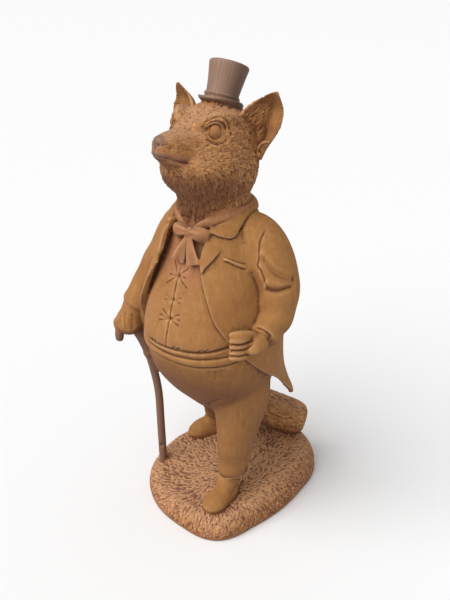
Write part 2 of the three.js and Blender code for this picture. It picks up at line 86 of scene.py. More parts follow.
# %% The driving sizes
MM = 0.001
FIGURE_X = -4
FIGURE_Y = -18
MOUND_RADIUS = 84
MOUND_HEIGHT = 20
MOUND_RISE = 17
MOUND_EDGE = 15
CANE_RADIUS = 4.2
COAT_CLOTH = 3.5
LAPEL_CLOTH = 3
HAT_BRIM_RADIUS = 20.5
HAT_BRIM_CLOTH = 2.6
HAT_CROWN_RADIUS = 13.2
HAT_TOP_RADIUS = 17.4
HAT_CROWN_HEIGHT = 35
HAT_BAND_HEIGHT = 9
HAT_BAND_CLOTH = 1.1
SKIN_STEP = 0.86
MOST_TRIANGLES = 196000
BOX_INSET = 1e-5

# %% [markdown]
# ## Small tools
#
# A few lines of numpy do what a sculptor's callipers do: a smooth line through some stations, a
# soft step, a soft bump and a curve through points. They work on all the points of a form at once.


# %% Lines, steps and bumps
def vec(x, y, z):
    return np.stack(np.broadcast_arrays(x, y, z), -1).astype(float)


def at(x, y, z):
    return vec(np.add(x, FIGURE_X), np.add(y, FIGURE_Y), np.add(z, MOUND_HEIGHT))


def lerp(a, b, t):
    return a + (b - a) * t


def step(x, low, high):
    t = np.clip((x - low) / (high - low), 0, 1)
    return t * t * (3 - 2 * t)


def bump(x, middle, reach):
    return np.exp(-(((x - middle) / reach) ** 2))


def unit(v):
    return v / np.maximum(np.linalg.norm(v, axis=-1, keepdims=True), 1e-9)


def from_front(heading):
    """How far a heading from 0 to 360 lies from the front, on either side."""
    return np.where(heading > 180, 360 - heading, heading)


def search_tree(points):
    """A tree that finds the nearest of many points."""
    tree = KDTree(len(points))
    for n, p in enumerate(points):
        tree.insert(p, n)
    tree.balance()
    return tree


def through(*rows):
    """A smooth line through rows of (key, value, value, ...), whose keys rise."""
    rows = np.array(rows, float)
    keys, values = rows[:, 0], rows[:, 1:]
    count = len(keys)
    before, after = np.maximum(np.arange(count) - 1, 0), np.minimum(np.arange(count) + 1, count - 1)
    slopes = (values[after] - values[before]) / (keys[after] - keys[before])[:, None]

    def value(key):
        key = np.clip(np.asarray(key, float), keys[0], keys[-1])
        i = np.clip(np.searchsorted(keys, key) - 1, 0, count - 2)
        width = (keys[i + 1] - keys[i])[..., None]
        t = (key - keys[i])[..., None] / width
        line = (2 * t**3 - 3 * t**2 + 1) * values[i] + (3 * t**2 - 2 * t**3) * values[i + 1]
        bend = (t**3 - 2 * t**2 + t) * slopes[i] + (t**3 - t**2) * slopes[i + 1]
        return np.moveaxis(line + bend * width, -1, 0)

    return value


def curve(points):
    """A centripetal curve through points: a function that gives the places at shares of it."""
    points = np.array(points, float)
    padded = np.vstack([2 * points[0] - points[1], points, 2 * points[-1] - points[-2]])
    last = len(points) - 2

    def place(share):
        s = np.clip(share, 0, 1) * (last + 1)
        i = np.minimum(s.astype(int), last)
        t = (s - i)[..., None]
        a, b, c, d = (padded[i + n] for n in range(4))
        gaps = [np.sum((q - p) ** 2, -1, keepdims=True) ** 0.25 for p, q in ((a, b), (b, c), (c, d))]
        middle = np.where(gaps[1] < 1e-4, 1, gaps[1])
        first, third = (np.where(g < 1e-4, middle, g) for g in (gaps[0], gaps[2]))
        start = ((b - a) / first - (c - a) / (first + middle) + (c - b) / middle) * middle
        end = ((c - b) / middle - (d - b) / (middle + third) + (d - c) / third) * middle
        cubic = 2 * b - 2 * c + start + end
        square = -3 * b + 3 * c - 2 * start - end
        return b + start * t + square * t**2 + cubic * t**3

    return place


# %% [markdown]
# ## Forms
#
# Each lump of clay is a Blender primitive whose points are moved into its shape, as a sculptor
# pushes a ball of clay about: a ball that is drawn out along a curve becomes a limb, and a flat
# grid that is given a thickness and bent becomes a lapel or the coat. Every form remembers what
# covers it (fur, cloth, grass or bare metal), because the finer work asks for that later.

# %% Shape a primitive
forms = []


def select_only(*objects):
    bpy.ops.object.select_all(action="DESELECT")
    for o in objects:
        o.select_set(True)
    bpy.context.view_layer.objects.active = objects[0]


def positions(mesh):
    co = np.empty(len(mesh.vertices) * 3)
    mesh.vertices.foreach_get("co", co)
    return co.reshape(-1, 3)


def move_points(mesh, places):
    mesh.vertices.foreach_set("co", np.ascontiguousarray(places, float).ravel())
    mesh.update()


def keep(name, cover, places, own):
    """Names the new form, puts its points in their places and turns its faces outwards.

    It remembers what covers the form, and each point's own two coordinates on it.
    """
    form = bpy.context.object
    form.name = name
    move_points(form.data, places * MM)
    bpy.ops.object.mode_set(mode="EDIT")
    bpy.ops.mesh.select_all(action="SELECT")
    bpy.ops.mesh.normals_make_consistent(inside=False)
    bpy.ops.object.mode_set(mode="OBJECT")
    forms.append((form, cover, places, own))
    return form


def recover(cover, part):
    """Gives a part of the last form's points another cover."""
    form, old, places, own = forms[-1]
    forms[-1] = (form, np.where(part(places), cover, old), places, own)


def ball(name, cover, place, columns=48, rows=32):
    """A ball whose rings are slid and shaped by place(turn, travel), from pole to pole."""
    bpy.ops.mesh.primitive_uv_sphere_add(segments=columns, ring_count=rows, radius=1)
    co = positions(bpy.context.object.data)
    travel = np.arccos(np.clip(co[:, 2], -1, 1)) / math.pi
    pole = np.hypot(co[:, 0], co[:, 1]) < 1e-6
    turn = np.where(pole, 0, np.arctan2(co[:, 1], co[:, 0]) / (2 * math.pi) % 1)
    return keep(name, cover, place(turn, travel), np.stack([turn, travel], 1))


def plate(name, cover, columns, rows, place):
    """A flat grid with a thickness, bent by place(across, along, side), with side 1 outside."""
    bpy.ops.mesh.primitive_grid_add(x_subdivisions=columns, y_subdivisions=rows, size=1)
    bpy.ops.object.mode_set(mode="EDIT")
    bpy.ops.mesh.select_all(action="SELECT")
    bpy.ops.mesh.extrude_region_move(TRANSFORM_OT_translate={"value": (0, 0, 1)})
    bpy.ops.object.mode_set(mode="OBJECT")
    co = positions(bpy.context.object.data)
    across, along = co[:, 0] + 0.5, co[:, 1] + 0.5
    return keep(name, cover, place(across, along, co[:, 2]), np.stack([across, along], 1))


def spread(travel):
    return (1 - np.cos(math.pi * travel)) / 2


def limb(name, cover, points, girth, across=(0, 1, 0), blunt=5, relief=None, size=(32, 40)):
    """A ball drawn out along a curve. Girth rows are (share, half width, half depth)."""
    line = curve(points)
    girths = through(*girth)

    def place(turn, travel):
        share = spread(travel)
        step_back, step_on = np.clip(share - 1e-4, 0, 1), np.clip(share + 1e-4, 0, 1)
        along = unit(line(step_on) - line(step_back))
        side = unit(np.cross(along, across))
        depth = np.cross(side, along)
        full = (1 - np.abs(2 * share - 1) ** blunt) ** (1 / blunt)
        width, height = girths(share) + (relief(turn, share) if relief else 0)
        angle = turn * 2 * math.pi
        out = side * (np.cos(angle) * width * full)[:, None]
        up = depth * (np.sin(angle) * height * full)[:, None]
        return line(share) + out + up

    return ball(name, cover, place, *size)


def egg(name, cover, centre, radii, turned=(0, 0, 0), size=(28, 20)):
    """A ball with three radii, turned by angles in degrees."""
    cx, cy, cz = (math.cos(math.radians(a)) for a in turned)
    sx, sy, sz = (math.sin(math.radians(a)) for a in turned)
    about_x = np.array([[1, 0, 0], [0, cx, -sx], [0, sx, cx]])
    about_y = np.array([[cy, 0, sy], [0, 1, 0], [-sy, 0, cy]])
    about_z = np.array([[cz, -sz, 0], [sz, cz, 0], [0, 0, 1]])
    turn_all = about_x @ about_y @ about_z

    def place(turn, travel):
        polar, angle = travel * math.pi, turn * 2 * math.pi
        unit_ball = vec(np.sin(polar) * np.cos(angle), np.sin(polar) * np.sin(angle), np.cos(polar))
        return (unit_ball * radii) @ turn_all.T + centre

    return ball(name, cover, place, *size)


# %% [markdown]
# ## The mound
#
# The figure stands on a low mound of grass with a wavering edge. It is a ball pressed flat below,
# whose rings follow the mound's reach in each direction, so that it has one closed skin.

# %% Build the mound
MOUND_REACH = np.array([1, 1.03, 1, 0.98, 1.03, 0.83, 0.79, 0.9, 1.2, 1.27, 1.12, 0.95])


def mound_reach(angle):
    count = len(MOUND_REACH)
    turn = (angle + math.pi) / (2 * math.pi) * count % count
    i = turn.astype(int)
    t = turn - i
    a, b, c, d = (MOUND_REACH[(i + n) % count] for n in (-1, 0, 1, 2))
    bend = (2 * a - 5 * b + 4 * c - d) * t**2 + (3 * b - a - 3 * c + d) * t**3
    return MOUND_RADIUS * (b + ((c - a) * t + bend) / 2)


def grass(x, y):
    """The height of the grass over the underside: level in front, and rising to the back."""
    x, y = np.asarray(x, float), np.asarray(y, float)
    reach = mound_reach(np.arctan2(y, x))
    share = np.minimum(np.hypot(x, y) / reach, 1)
    slope = MOUND_RISE * step(y, -0.7 * MOUND_RADIUS, 0.5 * MOUND_RADIUS)
    inside = np.clip(reach * (1 - share) / MOUND_EDGE, 0, 1)
    edge = np.sqrt(1 - (1 - inside) ** 2)
    return lerp(MOUND_HEIGHT * 0.3, MOUND_HEIGHT + slope * (1 - 0.35 * share**4), edge)


def mound_place(turn, travel):
    angle = turn * 2 * math.pi - math.pi
    ring = np.interp(travel, [0, 0.3, 0.36, 0.5, 1], [0, 0.985, 1, 0.93, 0])
    reach = mound_reach(angle) * ring
    x, y = np.cos(angle) * reach, np.sin(angle) * reach
    return vec(x, y, np.where(travel < 0.34, 0, grass(x, y)))


ball("mound", "grass", mound_place, 160, 100)
print("the mound reaches", round(float(MOUND_RADIUS * MOUND_REACH.max())), "mm")

# %% [markdown]
# ## The body and the waistcoat
#
# The trunk is a stack of rounded cross-sections, wide at the belly. The waistcoat swells a little
# over its lower edge, and a pleated sash lies under it.

# %% Build the trunk and the sash
body_girth = through(
    (96, 20, 18, 22),
    (106, 36, 27, 34),
    (122, 51, 42, 42),
    (145, 60, 58, 47),
    (168, 62, 66, 49),
    (186, 61.5, 66.5, 49),
    (205, 60, 64, 48),
    (222, 57, 59, 46),
    (240, 53, 51.5, 43),
    (258, 47, 43, 39),
    (276, 41, 35, 34),
    (290, 34, 31, 31),
    (303, 31, 29, 30),
)


def on_body(heading, height, lift=0, girth=body_girth):
    """A point of the body: heading 0 is in front and 90 on the fox's left."""
    width, front, back = girth(height)
    angle = np.radians(heading)
    s, c = np.sin(angle), np.cos(angle)
    depth = np.where(c > 0, front, back)
    roundness = 2.2
    r = (np.abs(s / width) ** roundness + np.abs(c / depth) ** roundness) ** (-1 / roundness)
    return at(s * (r + lift), -c * (r + lift), height)


waistcoat_hem = through(
    (-180, 184), (-26, 184), (0, 184.5), (13, 185.7), (34, 187.5), (49, 192), (80, 196), (180, 196)
)


def trunk_place(turn, travel):
    height, heading = lerp(96, 303, spread(travel)), turn * 360 - 180
    hem = waistcoat_hem(heading)[0]
    paunch = 3.4 * step(height, hem - 1, hem + 2.5) * (1 - step(height, 196, 240))
    tuck = 6.5 * step(-heading, 22, 58) * bump(height, 188, 52)
    pole = (travel == 0) | (travel == 1)
    return np.where(pole[:, None], at(0, 0, height), on_body(heading, height, paunch - tuck))


def sash_place(across, along, side):
    heading = lerp(-84, 84, across)
    pleat = 1.3 * np.sin(math.pi * np.clip(along * 1.9 % 1, 0, 1)) ** 0.7 * (along < 0.97)
    low = 171 + 0.0016 * np.clip(heading - 20, 0, 60) ** 2 * 2
    height = lerp(low, waistcoat_hem(heading)[0] + 1, along)
    return on_body(heading, height, lerp(-3, 0.4 + pleat, side))


ball("trunk", "waistcoat", trunk_place, 120, 150)
recover("trousers", lambda places: places[:, 2] < MOUND_HEIGHT + 170)
plate("sash", "cloth", 90, 24, sash_place)

# %% [markdown]
# ## The coat
#
# The coat is one bent sheet: its front edge, upper edge and cut-away hem are lines of heading and
# height round the body. The lapels, the collar and the pocket's welt are smaller sheets on it.

# %% Build the coat
coat_girth = through(
    (90, 70, 60, 82),
    (106, 69, 60, 79),
    (121, 66, 60, 70),
    (135, 65, 62, 62),
    (149, 65.5, 64, 57),
    (168, 66, 70, 54),
    (186, 66, 72, 53),
    (205, 64.5, 70, 52),
    (222, 61.5, 64.5, 50),
    (240, 57.5, 57, 47),
    (258, 52, 48.5, 43.5),
    (276, 46, 41, 39),
    (290, 39, 37, 35),
    (302, 31, 33, 32),
)
coat_top = through(
    (26, 254), (28, 266), (31, 277), (36, 288), (55, 294), (80, 297), (120, 302), (180, 304)
)
coat_hem = through(
    (26, 251),
    (32, 234),
    (39, 214),
    (50, 196),
    (62, 178),
    (73, 165),
    (84, 154),
    (112, 130),
    (137, 98),
    (150, 93),
    (168, 93),
    (180, 97),
)
COAT_FRONT = 26
COAT_STAND = 6


def on_coat(heading, height, lift=0):
    return on_body(heading, height, lift, coat_girth)


def coat_stand(away, height):
    """How far the right front stands off the waistcoat."""
    return COAT_STAND * bump(away, COAT_FRONT - 3, 17) * (1 - step(height, 278, 296))


def coat_place(across, along, side):
    heading = lerp(COAT_FRONT, 360 - COAT_FRONT + 3, across)
    away = from_front(heading)
    height = lerp(coat_hem(away)[0], coat_top(away)[0], along)
    stand = (heading > 180) * coat_stand(away, height)
    hang = step(height, 150, 185)
    fold = 1.4 * np.sin(np.radians(heading * 9)) * (1 - step(height, 120, 190))
    vent = -4 * bump(heading, 180, 4) * (1 - step(height, 150, 200))
    inner = lerp(lerp(-COAT_CLOTH, -8, hang), -COAT_CLOTH, stand / COAT_STAND)
    return on_coat(heading, height, stand + lerp(inner, fold + vent, side))


plate("coat", "cloth", 190, 90, coat_place)


# %% Build the lapels, the collar and the pocket
def lapel_place(hand):
    edge = through((0, 26, 254), (0.3, 24, 264), (0.65, 27, 275), (1, 33, 284))
    roll = through((0, 27.3, 254), (0.3, 30, 258.5), (0.6, 37.3, 265.5), (1, 47.7, 275.5))

    def place(across, along, side):
        (h1, z1), (h2, z2) = edge(along), roll(along)
        heading, height = lerp(h1, h2, across), lerp(z1, z2, across)
        stand = coat_stand(heading, height) if hand < 0 else 0
        proud = (LAPEL_CLOTH - 0.9 * (1 - across)) * (1 - 0.9 * step(along, 0.7, 1))
        proud = proud * step(along, 0, 0.5) if hand < 0 else proud
        lift = lerp(-3, proud, side) + stand
        return on_coat(hand * heading, height, lift)

    return place


def collar_place(across, along, side):
    stand = through((36, 289, 38), (55, 293, 36.5), (75, 297, 35), (120, 303, 33), (180, 306, 33))
    fall = through(
        (36, 285.5), (50, 282.2), (57, 281.6), (62, 283), (68, 287.6), (80, 293), (100, 296), (180, 299)
    )
    heading = lerp(34, 326, across)
    away = from_front(heading)
    angle = np.radians(heading)
    z1, (z2, r2) = fall(away)[0], stand(away)
    lower = on_coat(heading, z1, lerp(-4, 2.6, side))
    upper = at(np.sin(angle) * r2 - 1, -np.cos(angle) * r2 - 1, z2)
    upper = upper - (upper - at(0, 0, z2)) * (0.16 * (1 - side))[:, None]
    swell = 1.6 * np.sin(along * math.pi) * side
    return lerp(lower, upper, along[:, None]) + unit(upper - at(0, 0, z2 - 30)) * swell[:, None]


def pocket_place(across, along, side):
    height = lerp(267.3, 257.5, across) + lerp(-2.2, 1.5, along)
    return on_coat(lerp(47.5, 71, across), height, lerp(-3, 1.5 - 1.1 * along, side))


plate("left_lapel", "cloth", 20, 30, lapel_place(1))
plate("right_lapel", "cloth", 20, 30, lapel_place(-1))
plate("collar", "cloth", 150, 14, collar_place)
plate("pocket", "cloth", 20, 6, pocket_place)


# %% [markdown]
# ## The cravat and its bow
#
# A stand-up cravat goes round the neck, and its bow has two plump loops and two hanging ends.


# %% Build the neckwear
def cravat_place(across, along, side):
    upper = through((0, 284), (25, 294.5), (45, 298), (65, 300.5), (90, 303), (180, 305))
    heading = across * 352 + 4
    away = from_front(heading)
    height = upper(away)[0] + lerp(-9, 0, along)
    r = 32.5 + lerp(-5, 1.6 + 1.2 * np.sin(along * math.pi), side)
    angle = np.radians(heading)
    return at(np.sin(angle) * r - 1, -np.cos(angle) * r - 1, height)


plate("cravat", "satin", 110, 10, cravat_place)
KNOT = at(4.5, -39, 284)
egg("bow_knot", "satin", KNOT, [3.6, 3.6, 4.6])
BOW_LOOP = [(0, 2.5, 3), (0.3, 4.6, 4), (0.7, 7.2, 4.6), (1, 6.6, 4)]
BOW_END = [(0, 1.8, 1.6), (0.5, 3.8, 2.4), (1, 6.6, 3.4)]


def pinched(turn, share):
    return 0.7 * np.sin(turn * 10 * math.pi + 1) * (1 - step(share, 0.3, 0.8))


def folded(turn, share):
    return 1.3 * np.cos(turn * 6 * math.pi) * step(share, 0.2, 0.9)


for hand, tip in ((1, at(21.5, -34.5, 281)), (-1, at(-15, -35, 280))):
    loop = [KNOT, (KNOT + tip) / 2 + (0, -2.5, 1.5), tip]
    limb(f"bow_loop_{hand}", "satin", loop, BOW_LOOP, relief=pinched, size=(48, 40))
for hand, tip in ((1, at(14, -46.5, 258)), (-1, at(-5, -45.5, 258))):
    fall = [KNOT, lerp(KNOT, tip, 0.45) + (0, -1.5, 0), tip]
    limb(f"bow_end_{hand}", "satin", fall, BOW_END, blunt=12, relief=folded, size=(48, 40))


# %% [markdown]
# ## The arms and hands
#
# A sleeve is a limb with folds that ring its elbow. A hand is a palm with four fingers and a thumb:
# the left one holds the coat's edge, and the right one is closed over the cane's handle.


# %% Build the sleeves
def sleeve_folds(turn, share):
    ring = np.sin(share * 27 + 2 * np.cos(turn * 2 * math.pi))
    return 0.5 * ring * bump(share, 0.6, 0.2)


def sleeve(name, places, radii):
    girth = [(share, radius, radius) for share, radius in radii]
    limb(name, "cloth", [at(*p) for p in places], girth, (0, 1, 0.2), 7, sleeve_folds, (64, 90))


sleeve(
    "left_sleeve",
    [(24, 4, 284), (46, 4, 275), (62, 3, 253), (68.5, 2, 232), (68, -3, 212), (67, -12, 202), (69, -21, 197)],
    [(0, 18), (0.25, 20.5), (0.5, 18), (0.7, 16.5), (0.85, 14.5), (1, 15.5)],
)
sleeve(
    "right_sleeve",
    [(-20, 0, 276), (-39, -1, 270), (-51, -4, 251), (-64, -9, 228), (-74, -17, 205), (-81, -25, 184)],
    [(0, 18), (0.25, 19), (0.5, 17), (0.7, 15.5), (0.88, 15), (1, 19)],
)


# %% Build the hands
def digit(name, places, thick):
    girth = [(0, thick, thick), (1, thick * 0.85, thick * 0.85)]
    limb(name, "hand", [at(*p) for p in places], girth, blunt=3, size=(20, 20))


limb(
    "left_palm",
    "hand",
    [at(69, -18, 199), at(68, -30, 195), at(65, -41, 193)],
    [(0, 9, 9), (0.6, 8, 11.5), (1, 6, 11)],
    across=(1, 0, 0),
    blunt=3,
)
for z in (203, 197.5, 192, 187):
    digit(f"left_finger_{z:.0f}", [(67, -36, z), (63, -46, z), (56, -50, z - 1)], 3.7)
digit("left_thumb", [(68, -28, 204), (62, -41, 207), (54, -48, 206)], 3.7)

egg("right_palm", "hand", at(-83, -33, 170), [13, 15, 15], (0, 0, 8))
for y in (-44, -38, -32, -26):
    digit(f"right_finger_{-y}", [(-80, y, 178), (-90, y, 170), (-87, y, 159)], 4)
digit("right_thumb", [(-78, -24, 172), (-73, -34, 168), (-76, -44, 164)], 4)
limb("right_wrist", "hand", [at(-80, -24, 192), at(-84, -33, 168)], [(0, 12, 12), (1, 12, 12)])

# %% [markdown]
# ## The cane
#
# The cane is a peeled stick with one knot. It bows towards the hand, and the founder left a web of
# metal between it and the coat, which holds it.

# %% Build the cane
cane_foot = at(-61, -16, 0)
cane_foot[2] = grass(cane_foot[0], cane_foot[1]) - 6
cane_bends = [(-63, -15.5, 45), (-65, -15.5, 88), (-69, -18.5, 118), (-72.5, -21.5, 136), (-76.5, -25, 151)]
cane_line = [cane_foot, *[at(*p) for p in cane_bends], at(-82, -30, 165)]
handle_line = [at(-81, -27, 166), at(-84, -33, 170), at(-88, -41, 165), at(-89, -43, 149)]


def cane_knot(turn, share):
    return 3 * bump(share, 0.63, 0.025) * (0.4 + 0.6 * bump(turn, 0.1, 0.2))


r = CANE_RADIUS
shaft = [(0, r, r), (0.6, r, r), (0.75, r * 1.2, r * 1.2), (1, r * 1.4, r * 1.4)]
limb("cane", "stick", cane_line, shaft, blunt=20, relief=cane_knot, size=(28, 90))
limb("cane_handle", "stick", handle_line, [(0, r, r), (1, r * 1.1, r * 1.1)], (1, 0, 0), 6)
web_line = [at(-62, -14, 110), at(-65, -17, 130), at(-68, -21, 158), at(-70, -25, 180), at(-66, -27, 204)]
limb("web", "cloth", web_line, [(0, 3, 3), (0.5, 9, 5), (0.8, 11, 7), (1, 7, 5)], blunt=4)


# %% [markdown]
# ## The legs and shoes
#
# The trousers are wide and crease a little over the shoes. The far leg stands behind.


# %% Build the legs
def trouser_creases(turn, share):
    return 1.1 * np.sin(share * 24 + 4 * turn) * bump(share, 0.86, 0.12)


def leg(name, places, girth):
    points = [at(*p) for p in places]
    hem = points[-1]
    hem[2] += grass(hem[0], hem[1]) - MOUND_HEIGHT
    limb(name, "trousers", points, girth, blunt=14, relief=trouser_creases, size=(72, 70))


leg(
    "left_leg",
    [(27, 2, 128), (31, -1, 104), (32.5, -6, 84), (32.5, -10, 58), (31, -13, 27)],
    [(0, 31, 33), (0.25, 26, 28), (0.45, 21.5, 23), (0.7, 17.5, 19), (0.9, 15, 16), (1, 15.5, 16.5)],
)
leg(
    "right_leg",
    [(-26, 8, 128), (-29, 24, 96), (-32, 37, 70), (-37, 48, 27)],
    [(0, 31, 33), (0.3, 23, 25), (0.55, 18, 19), (0.85, 15, 16), (1, 15.5, 16.5)],
)


def shoe(name, heel, toe):
    def rest(share, lift):
        p = at(lerp(heel[0], toe[0], share), lerp(heel[1], toe[1], share), 0)
        p[2] = grass(p[0], p[1]) + lift
        return p

    sole = [rest(0, 7), rest(0.5, 6), rest(1, 3.5)]
    foot = [(0, 9.5, 11), (0.45, 10.2, 12.5), (0.75, 12, 9.5), (1, 10.5, 6)]
    limb(name, "leather", sole, foot, (0, 0, 1), 2.8, size=(48, 40))
    ankle = [rest(0.2, 36), rest(0.3, 20), rest(0.55, 5)]
    limb(name + "_ankle", "leather", ankle, [(0, 10.5, 10.5), (0.6, 9.5, 9.5), (1, 7, 7)])


shoe("left_shoe", (31, -6), (28, -49))
shoe("right_shoe", (-33, 56), (-60, 24))

# %% [markdown]
# ## The tail
#
# The brush comes out below the coat and lies on the grass, where its tip turns to the fox's left.

# %% Build the tail
TAIL_LINE = [at(0, 22, 112), at(-6, 60, 80), at(-4, 84, 46), at(14, 100, 33), at(38, 109, 30)]
TAIL_GIRTH = [(0, 13, 13), (0.35, 17, 17), (0.6, 20, 20), (0.9, 20, 20), (1, 19, 19)]
limb("tail", "brush", TAIL_LINE, TAIL_GIRTH, (0, 0, 1), 5, size=(60, 80))

# %% [markdown]
# ## The head
#
# The head lifts its nose and turns a little to its right, so its points are given forward, left
# and up from the middle of the skull. Rows of top, bottom and half width give its profile.

# %% Build the skull and the neck
HEAD_PITCH = math.radians(15)
HEAD_TURN = math.radians(6)
HEAD_HEIGHT = 354


def on_head(forward, left, up):
    f = forward * math.cos(HEAD_PITCH) - up * math.sin(HEAD_PITCH)
    u = forward * math.sin(HEAD_PITCH) + up * math.cos(HEAD_PITCH)
    x = left * math.cos(HEAD_TURN) - f * math.sin(HEAD_TURN)
    y = -f * math.cos(HEAD_TURN) - left * math.sin(HEAD_TURN)
    return at(x, y, HEAD_HEIGHT + u)


def on_side(hand, forward, left, up):
    """A point of the head's left half for hand 1, and its twin on the right for hand -1."""
    return on_head(forward, hand * left, up)


HEAD_MIDDLE = on_head(0, 0, 0)
HEAD_FORWARD = unit(on_head(1, 0, 0) - HEAD_MIDDLE)
HEAD_UP = unit(on_head(0, 0, 1) - HEAD_MIDDLE)
HEAD_LEFT = np.cross(HEAD_UP, HEAD_FORWARD)
head_girth = through(
    (-36, 6, -6, 8),
    (-30, 19, -24, 22),
    (-18, 28, -36, 32),
    (-5, 31, -40, 36),
    (8, 30, -40, 36),
    (18, 25, -38, 34),
    (26, 18, -35, 29),
    (34, 10.5, -32, 20.5),
    (44, 5, -30, 15.5),
    (54, 1, -26.5, 12.5),
    (60, -2, -23, 10),
    (64, -8, -17, 5),
)


def skull_place(turn, travel):
    forward = lerp(-36, 65, spread(travel))
    top, bottom, width = head_girth(forward)
    middle = lerp(bottom, top, 0.55)
    angle = turn * 2 * math.pi
    c, s = np.cos(angle), np.sin(angle)
    snout = step(forward, 24, 40)
    mouth = 2 * snout * bump(s, -0.62, 0.16)
    jaw = 1 - 0.25 * snout * step(-s, 0.3, 0.9)
    square = 2 + 0.7 * bump(forward, 22, 12)
    round_off = (np.abs(c) ** square + np.abs(s) ** square) ** (-1 / square)
    up = middle + s * round_off * np.where(s > 0, top - middle, middle - bottom)
    pole = (travel == 0) | (travel == 1)
    skin = on_head(forward, c * round_off * (width * jaw - mouth), up)
    return np.where(pole[:, None], on_head(forward, 0, (top + bottom) / 2), skin)


neck_girth = through(
    (276, 27, 27, 27),
    (300, 29.5, 30, 29),
    (311, 31, 33, 30),
    (319, 36, 42.5, 31),
    (330, 38.5, 49, 34),
    (341, 38.5, 49, 35),
    (350, 37, 42, 34),
    (362, 30, 30, 28),
)


def neck_place(turn, travel):
    height = lerp(276, 362, spread(travel))
    skin = on_body(turn * 360 - 180, height, 0, neck_girth) + (-1, -2, 0)
    pole = (travel == 0) | (travel == 1)
    return np.where(pole[:, None], at(-1, -2, height), skin)


ball("skull", "fur", skull_place, 120, 100)
ball("neck", "fur", neck_place, 120, 70)

# %% [markdown]
# ### The face
#
# The eyes are plain domes without pupils. Each has an upper lid with a second fold over it and a
# lower lid, which are thin rolls laid round the dome under a full brow. The nose and the lips are
# smooth. The rolls are set out on the face as seen from the fox's front left: across, and up.

# %% Build the face
EYE = (26, 23, 8)
EYE_RADIUS = 5.9


def on_face(hand, across, up, proud):
    """A point of the face beside the eye: across towards the ear, up, and proud of its middle."""
    forward = EYE[0] - 0.72 * across + 0.69 * proud
    left = EYE[1] + 0.69 * across + 0.72 * proud
    return on_head(forward, hand * left, EYE[2] + up)


def face_roll(name, cover, hand, places, thick):
    points = [on_face(hand, *p) for p in places]
    limb(f"{name}_{hand}", cover, points, [(0, 0.4, 0.4), (0.5, thick, thick), (1, 0.4, 0.4)], (0, 0, 1), 3)


egg("nose", "bare", on_head(59.5, 0, -8.5), [7, 7, 5.8], (-15, 0, 0))
egg("lip", "bare", on_head(57, 0, -16.5), [8.5, 8.5, 6], (-15, 0, 0))
LIDS = {
    "upper_lid": (
        1.35,
        [(-12.6, -2.6, 2), (-8.7, 0.8, 3.2), (-4.9, 4.4, 3.8), (0, 6.2, 3.9), (4.6, 4.6, 3.2), (7.2, 0.4, 2)],
    ),
    "lid_fold": (
        1.3,
        [(-11.5, 1, 1.6), (-7, 5.6, 2.6), (0, 9, 2.8), (6.4, 7.2, 2), (9.8, 2, 0.4), (11, -2.4, -0.8)],
    ),
    "lower_lid": (
        1.4,
        [(-11, -3.6, 2), (-5.8, -4, 3.8), (-2.8, -6.8, 4), (1.6, -8, 3.8), (5.6, -6.2, 3.2), (7.4, -1.8, 2)],
    ),
}
JOWL = [(60, 4, -15), (50, 9, -16.5), (38, 14, -16.5)]
LOWER_LIP = [(55, 4, -21.2), (46, 8.5, -22), (37, 14.5, -22.2)]
BROW = [(37, 8, 8), (31, 17, 14), (22, 25, 18.5), (9, 31, 17)]


def face_limb(name, cover, hand, places, girth, blunt=3):
    limb(f"{name}_{hand}", cover, [on_side(hand, *p) for p in places], girth, (0, 0, 1), blunt)


for hand in (1, -1):
    egg(f"nostril_wing_{hand}", "bare", on_side(hand, 60, 4.2, -10), [4, 4.4, 4])
    egg(f"eye_{hand}", "eye", on_side(hand, *EYE), [EYE_RADIUS] * 3)
    for name, (thick, places) in LIDS.items():
        face_roll(name, "lid", hand, places, thick)
    face_limb("jowl", "lip", hand, JOWL, [(0, 4, 4), (0.5, 4.4, 4.6), (1, 3, 3)])
    face_limb("lower_lip", "lip", hand, LOWER_LIP, [(0, 3.4, 3.4), (0.6, 3.4, 3), (1, 2, 2)])
    face_limb("brow", "fur", hand, BROW, [(0, 3, 3), (0.4, 5, 5), (0.7, 5.6, 5.6), (1, 3, 3)], 2.5)

# %% [markdown]
# ### The ears
#
# An ear is a hollow leaf that opens forwards and a little outwards, with a curled lobe at its foot.
# Its tufts are locks of hair, which are laid on the skin later. The right one sits a little lower.

# %% Build the ears
EAR_TURN = math.radians(14)
EAR_WALL = 3.4
ear_leaf = through(
    (0, -15.7, 33.7, -9, 3.9),
    (0.2, -11.5, 35.5, 2.2, 9.2),
    (0.4, -7.6, 38.8, 13.2, 14.7),
    (0.6, -0.9, 42.6, 22, 19),
    (0.8, -1.4, 47.2, 34.3, 13.8),
    (0.92, 1.3, 53.6, 43.7, 4.5),
    (1, 0.2, 55.5, 46.1, 0.8),
)


def ear_place(hand, slip):
    facing, aside = math.cos(EAR_TURN), math.sin(EAR_TURN)

    def place(across, along, out):
        f, left, up, half = ear_leaf(along)
        s = 2 * across - 1
        hollow = 0.6 * half * (1 - s * s) + EAR_WALL * (1 - out) * (1 - 0.5 * along)
        forward = f - aside * half * s - facing * hollow
        left = left + facing * half * s - aside * hollow
        return on_head(forward, hand * (left + slip), up - slip)

    return place


EAR_SLIPS = ((1, 0), (-1, 5))
for hand, slip in EAR_SLIPS:
    plate(f"ear_{hand}", "ear", 50, 70, ear_place(hand, slip))


def ear_point(hand, slip, s, along, lift):
    """A point over the ear's hollow side: s runs from -1 at the inner rim to 1 at the outer."""
    inside, wall = ear_place(hand, slip)(np.full(2, s / 2 + 0.5), np.full(2, along), np.array([1, 0]))
    return inside + lift * unit(inside - wall)


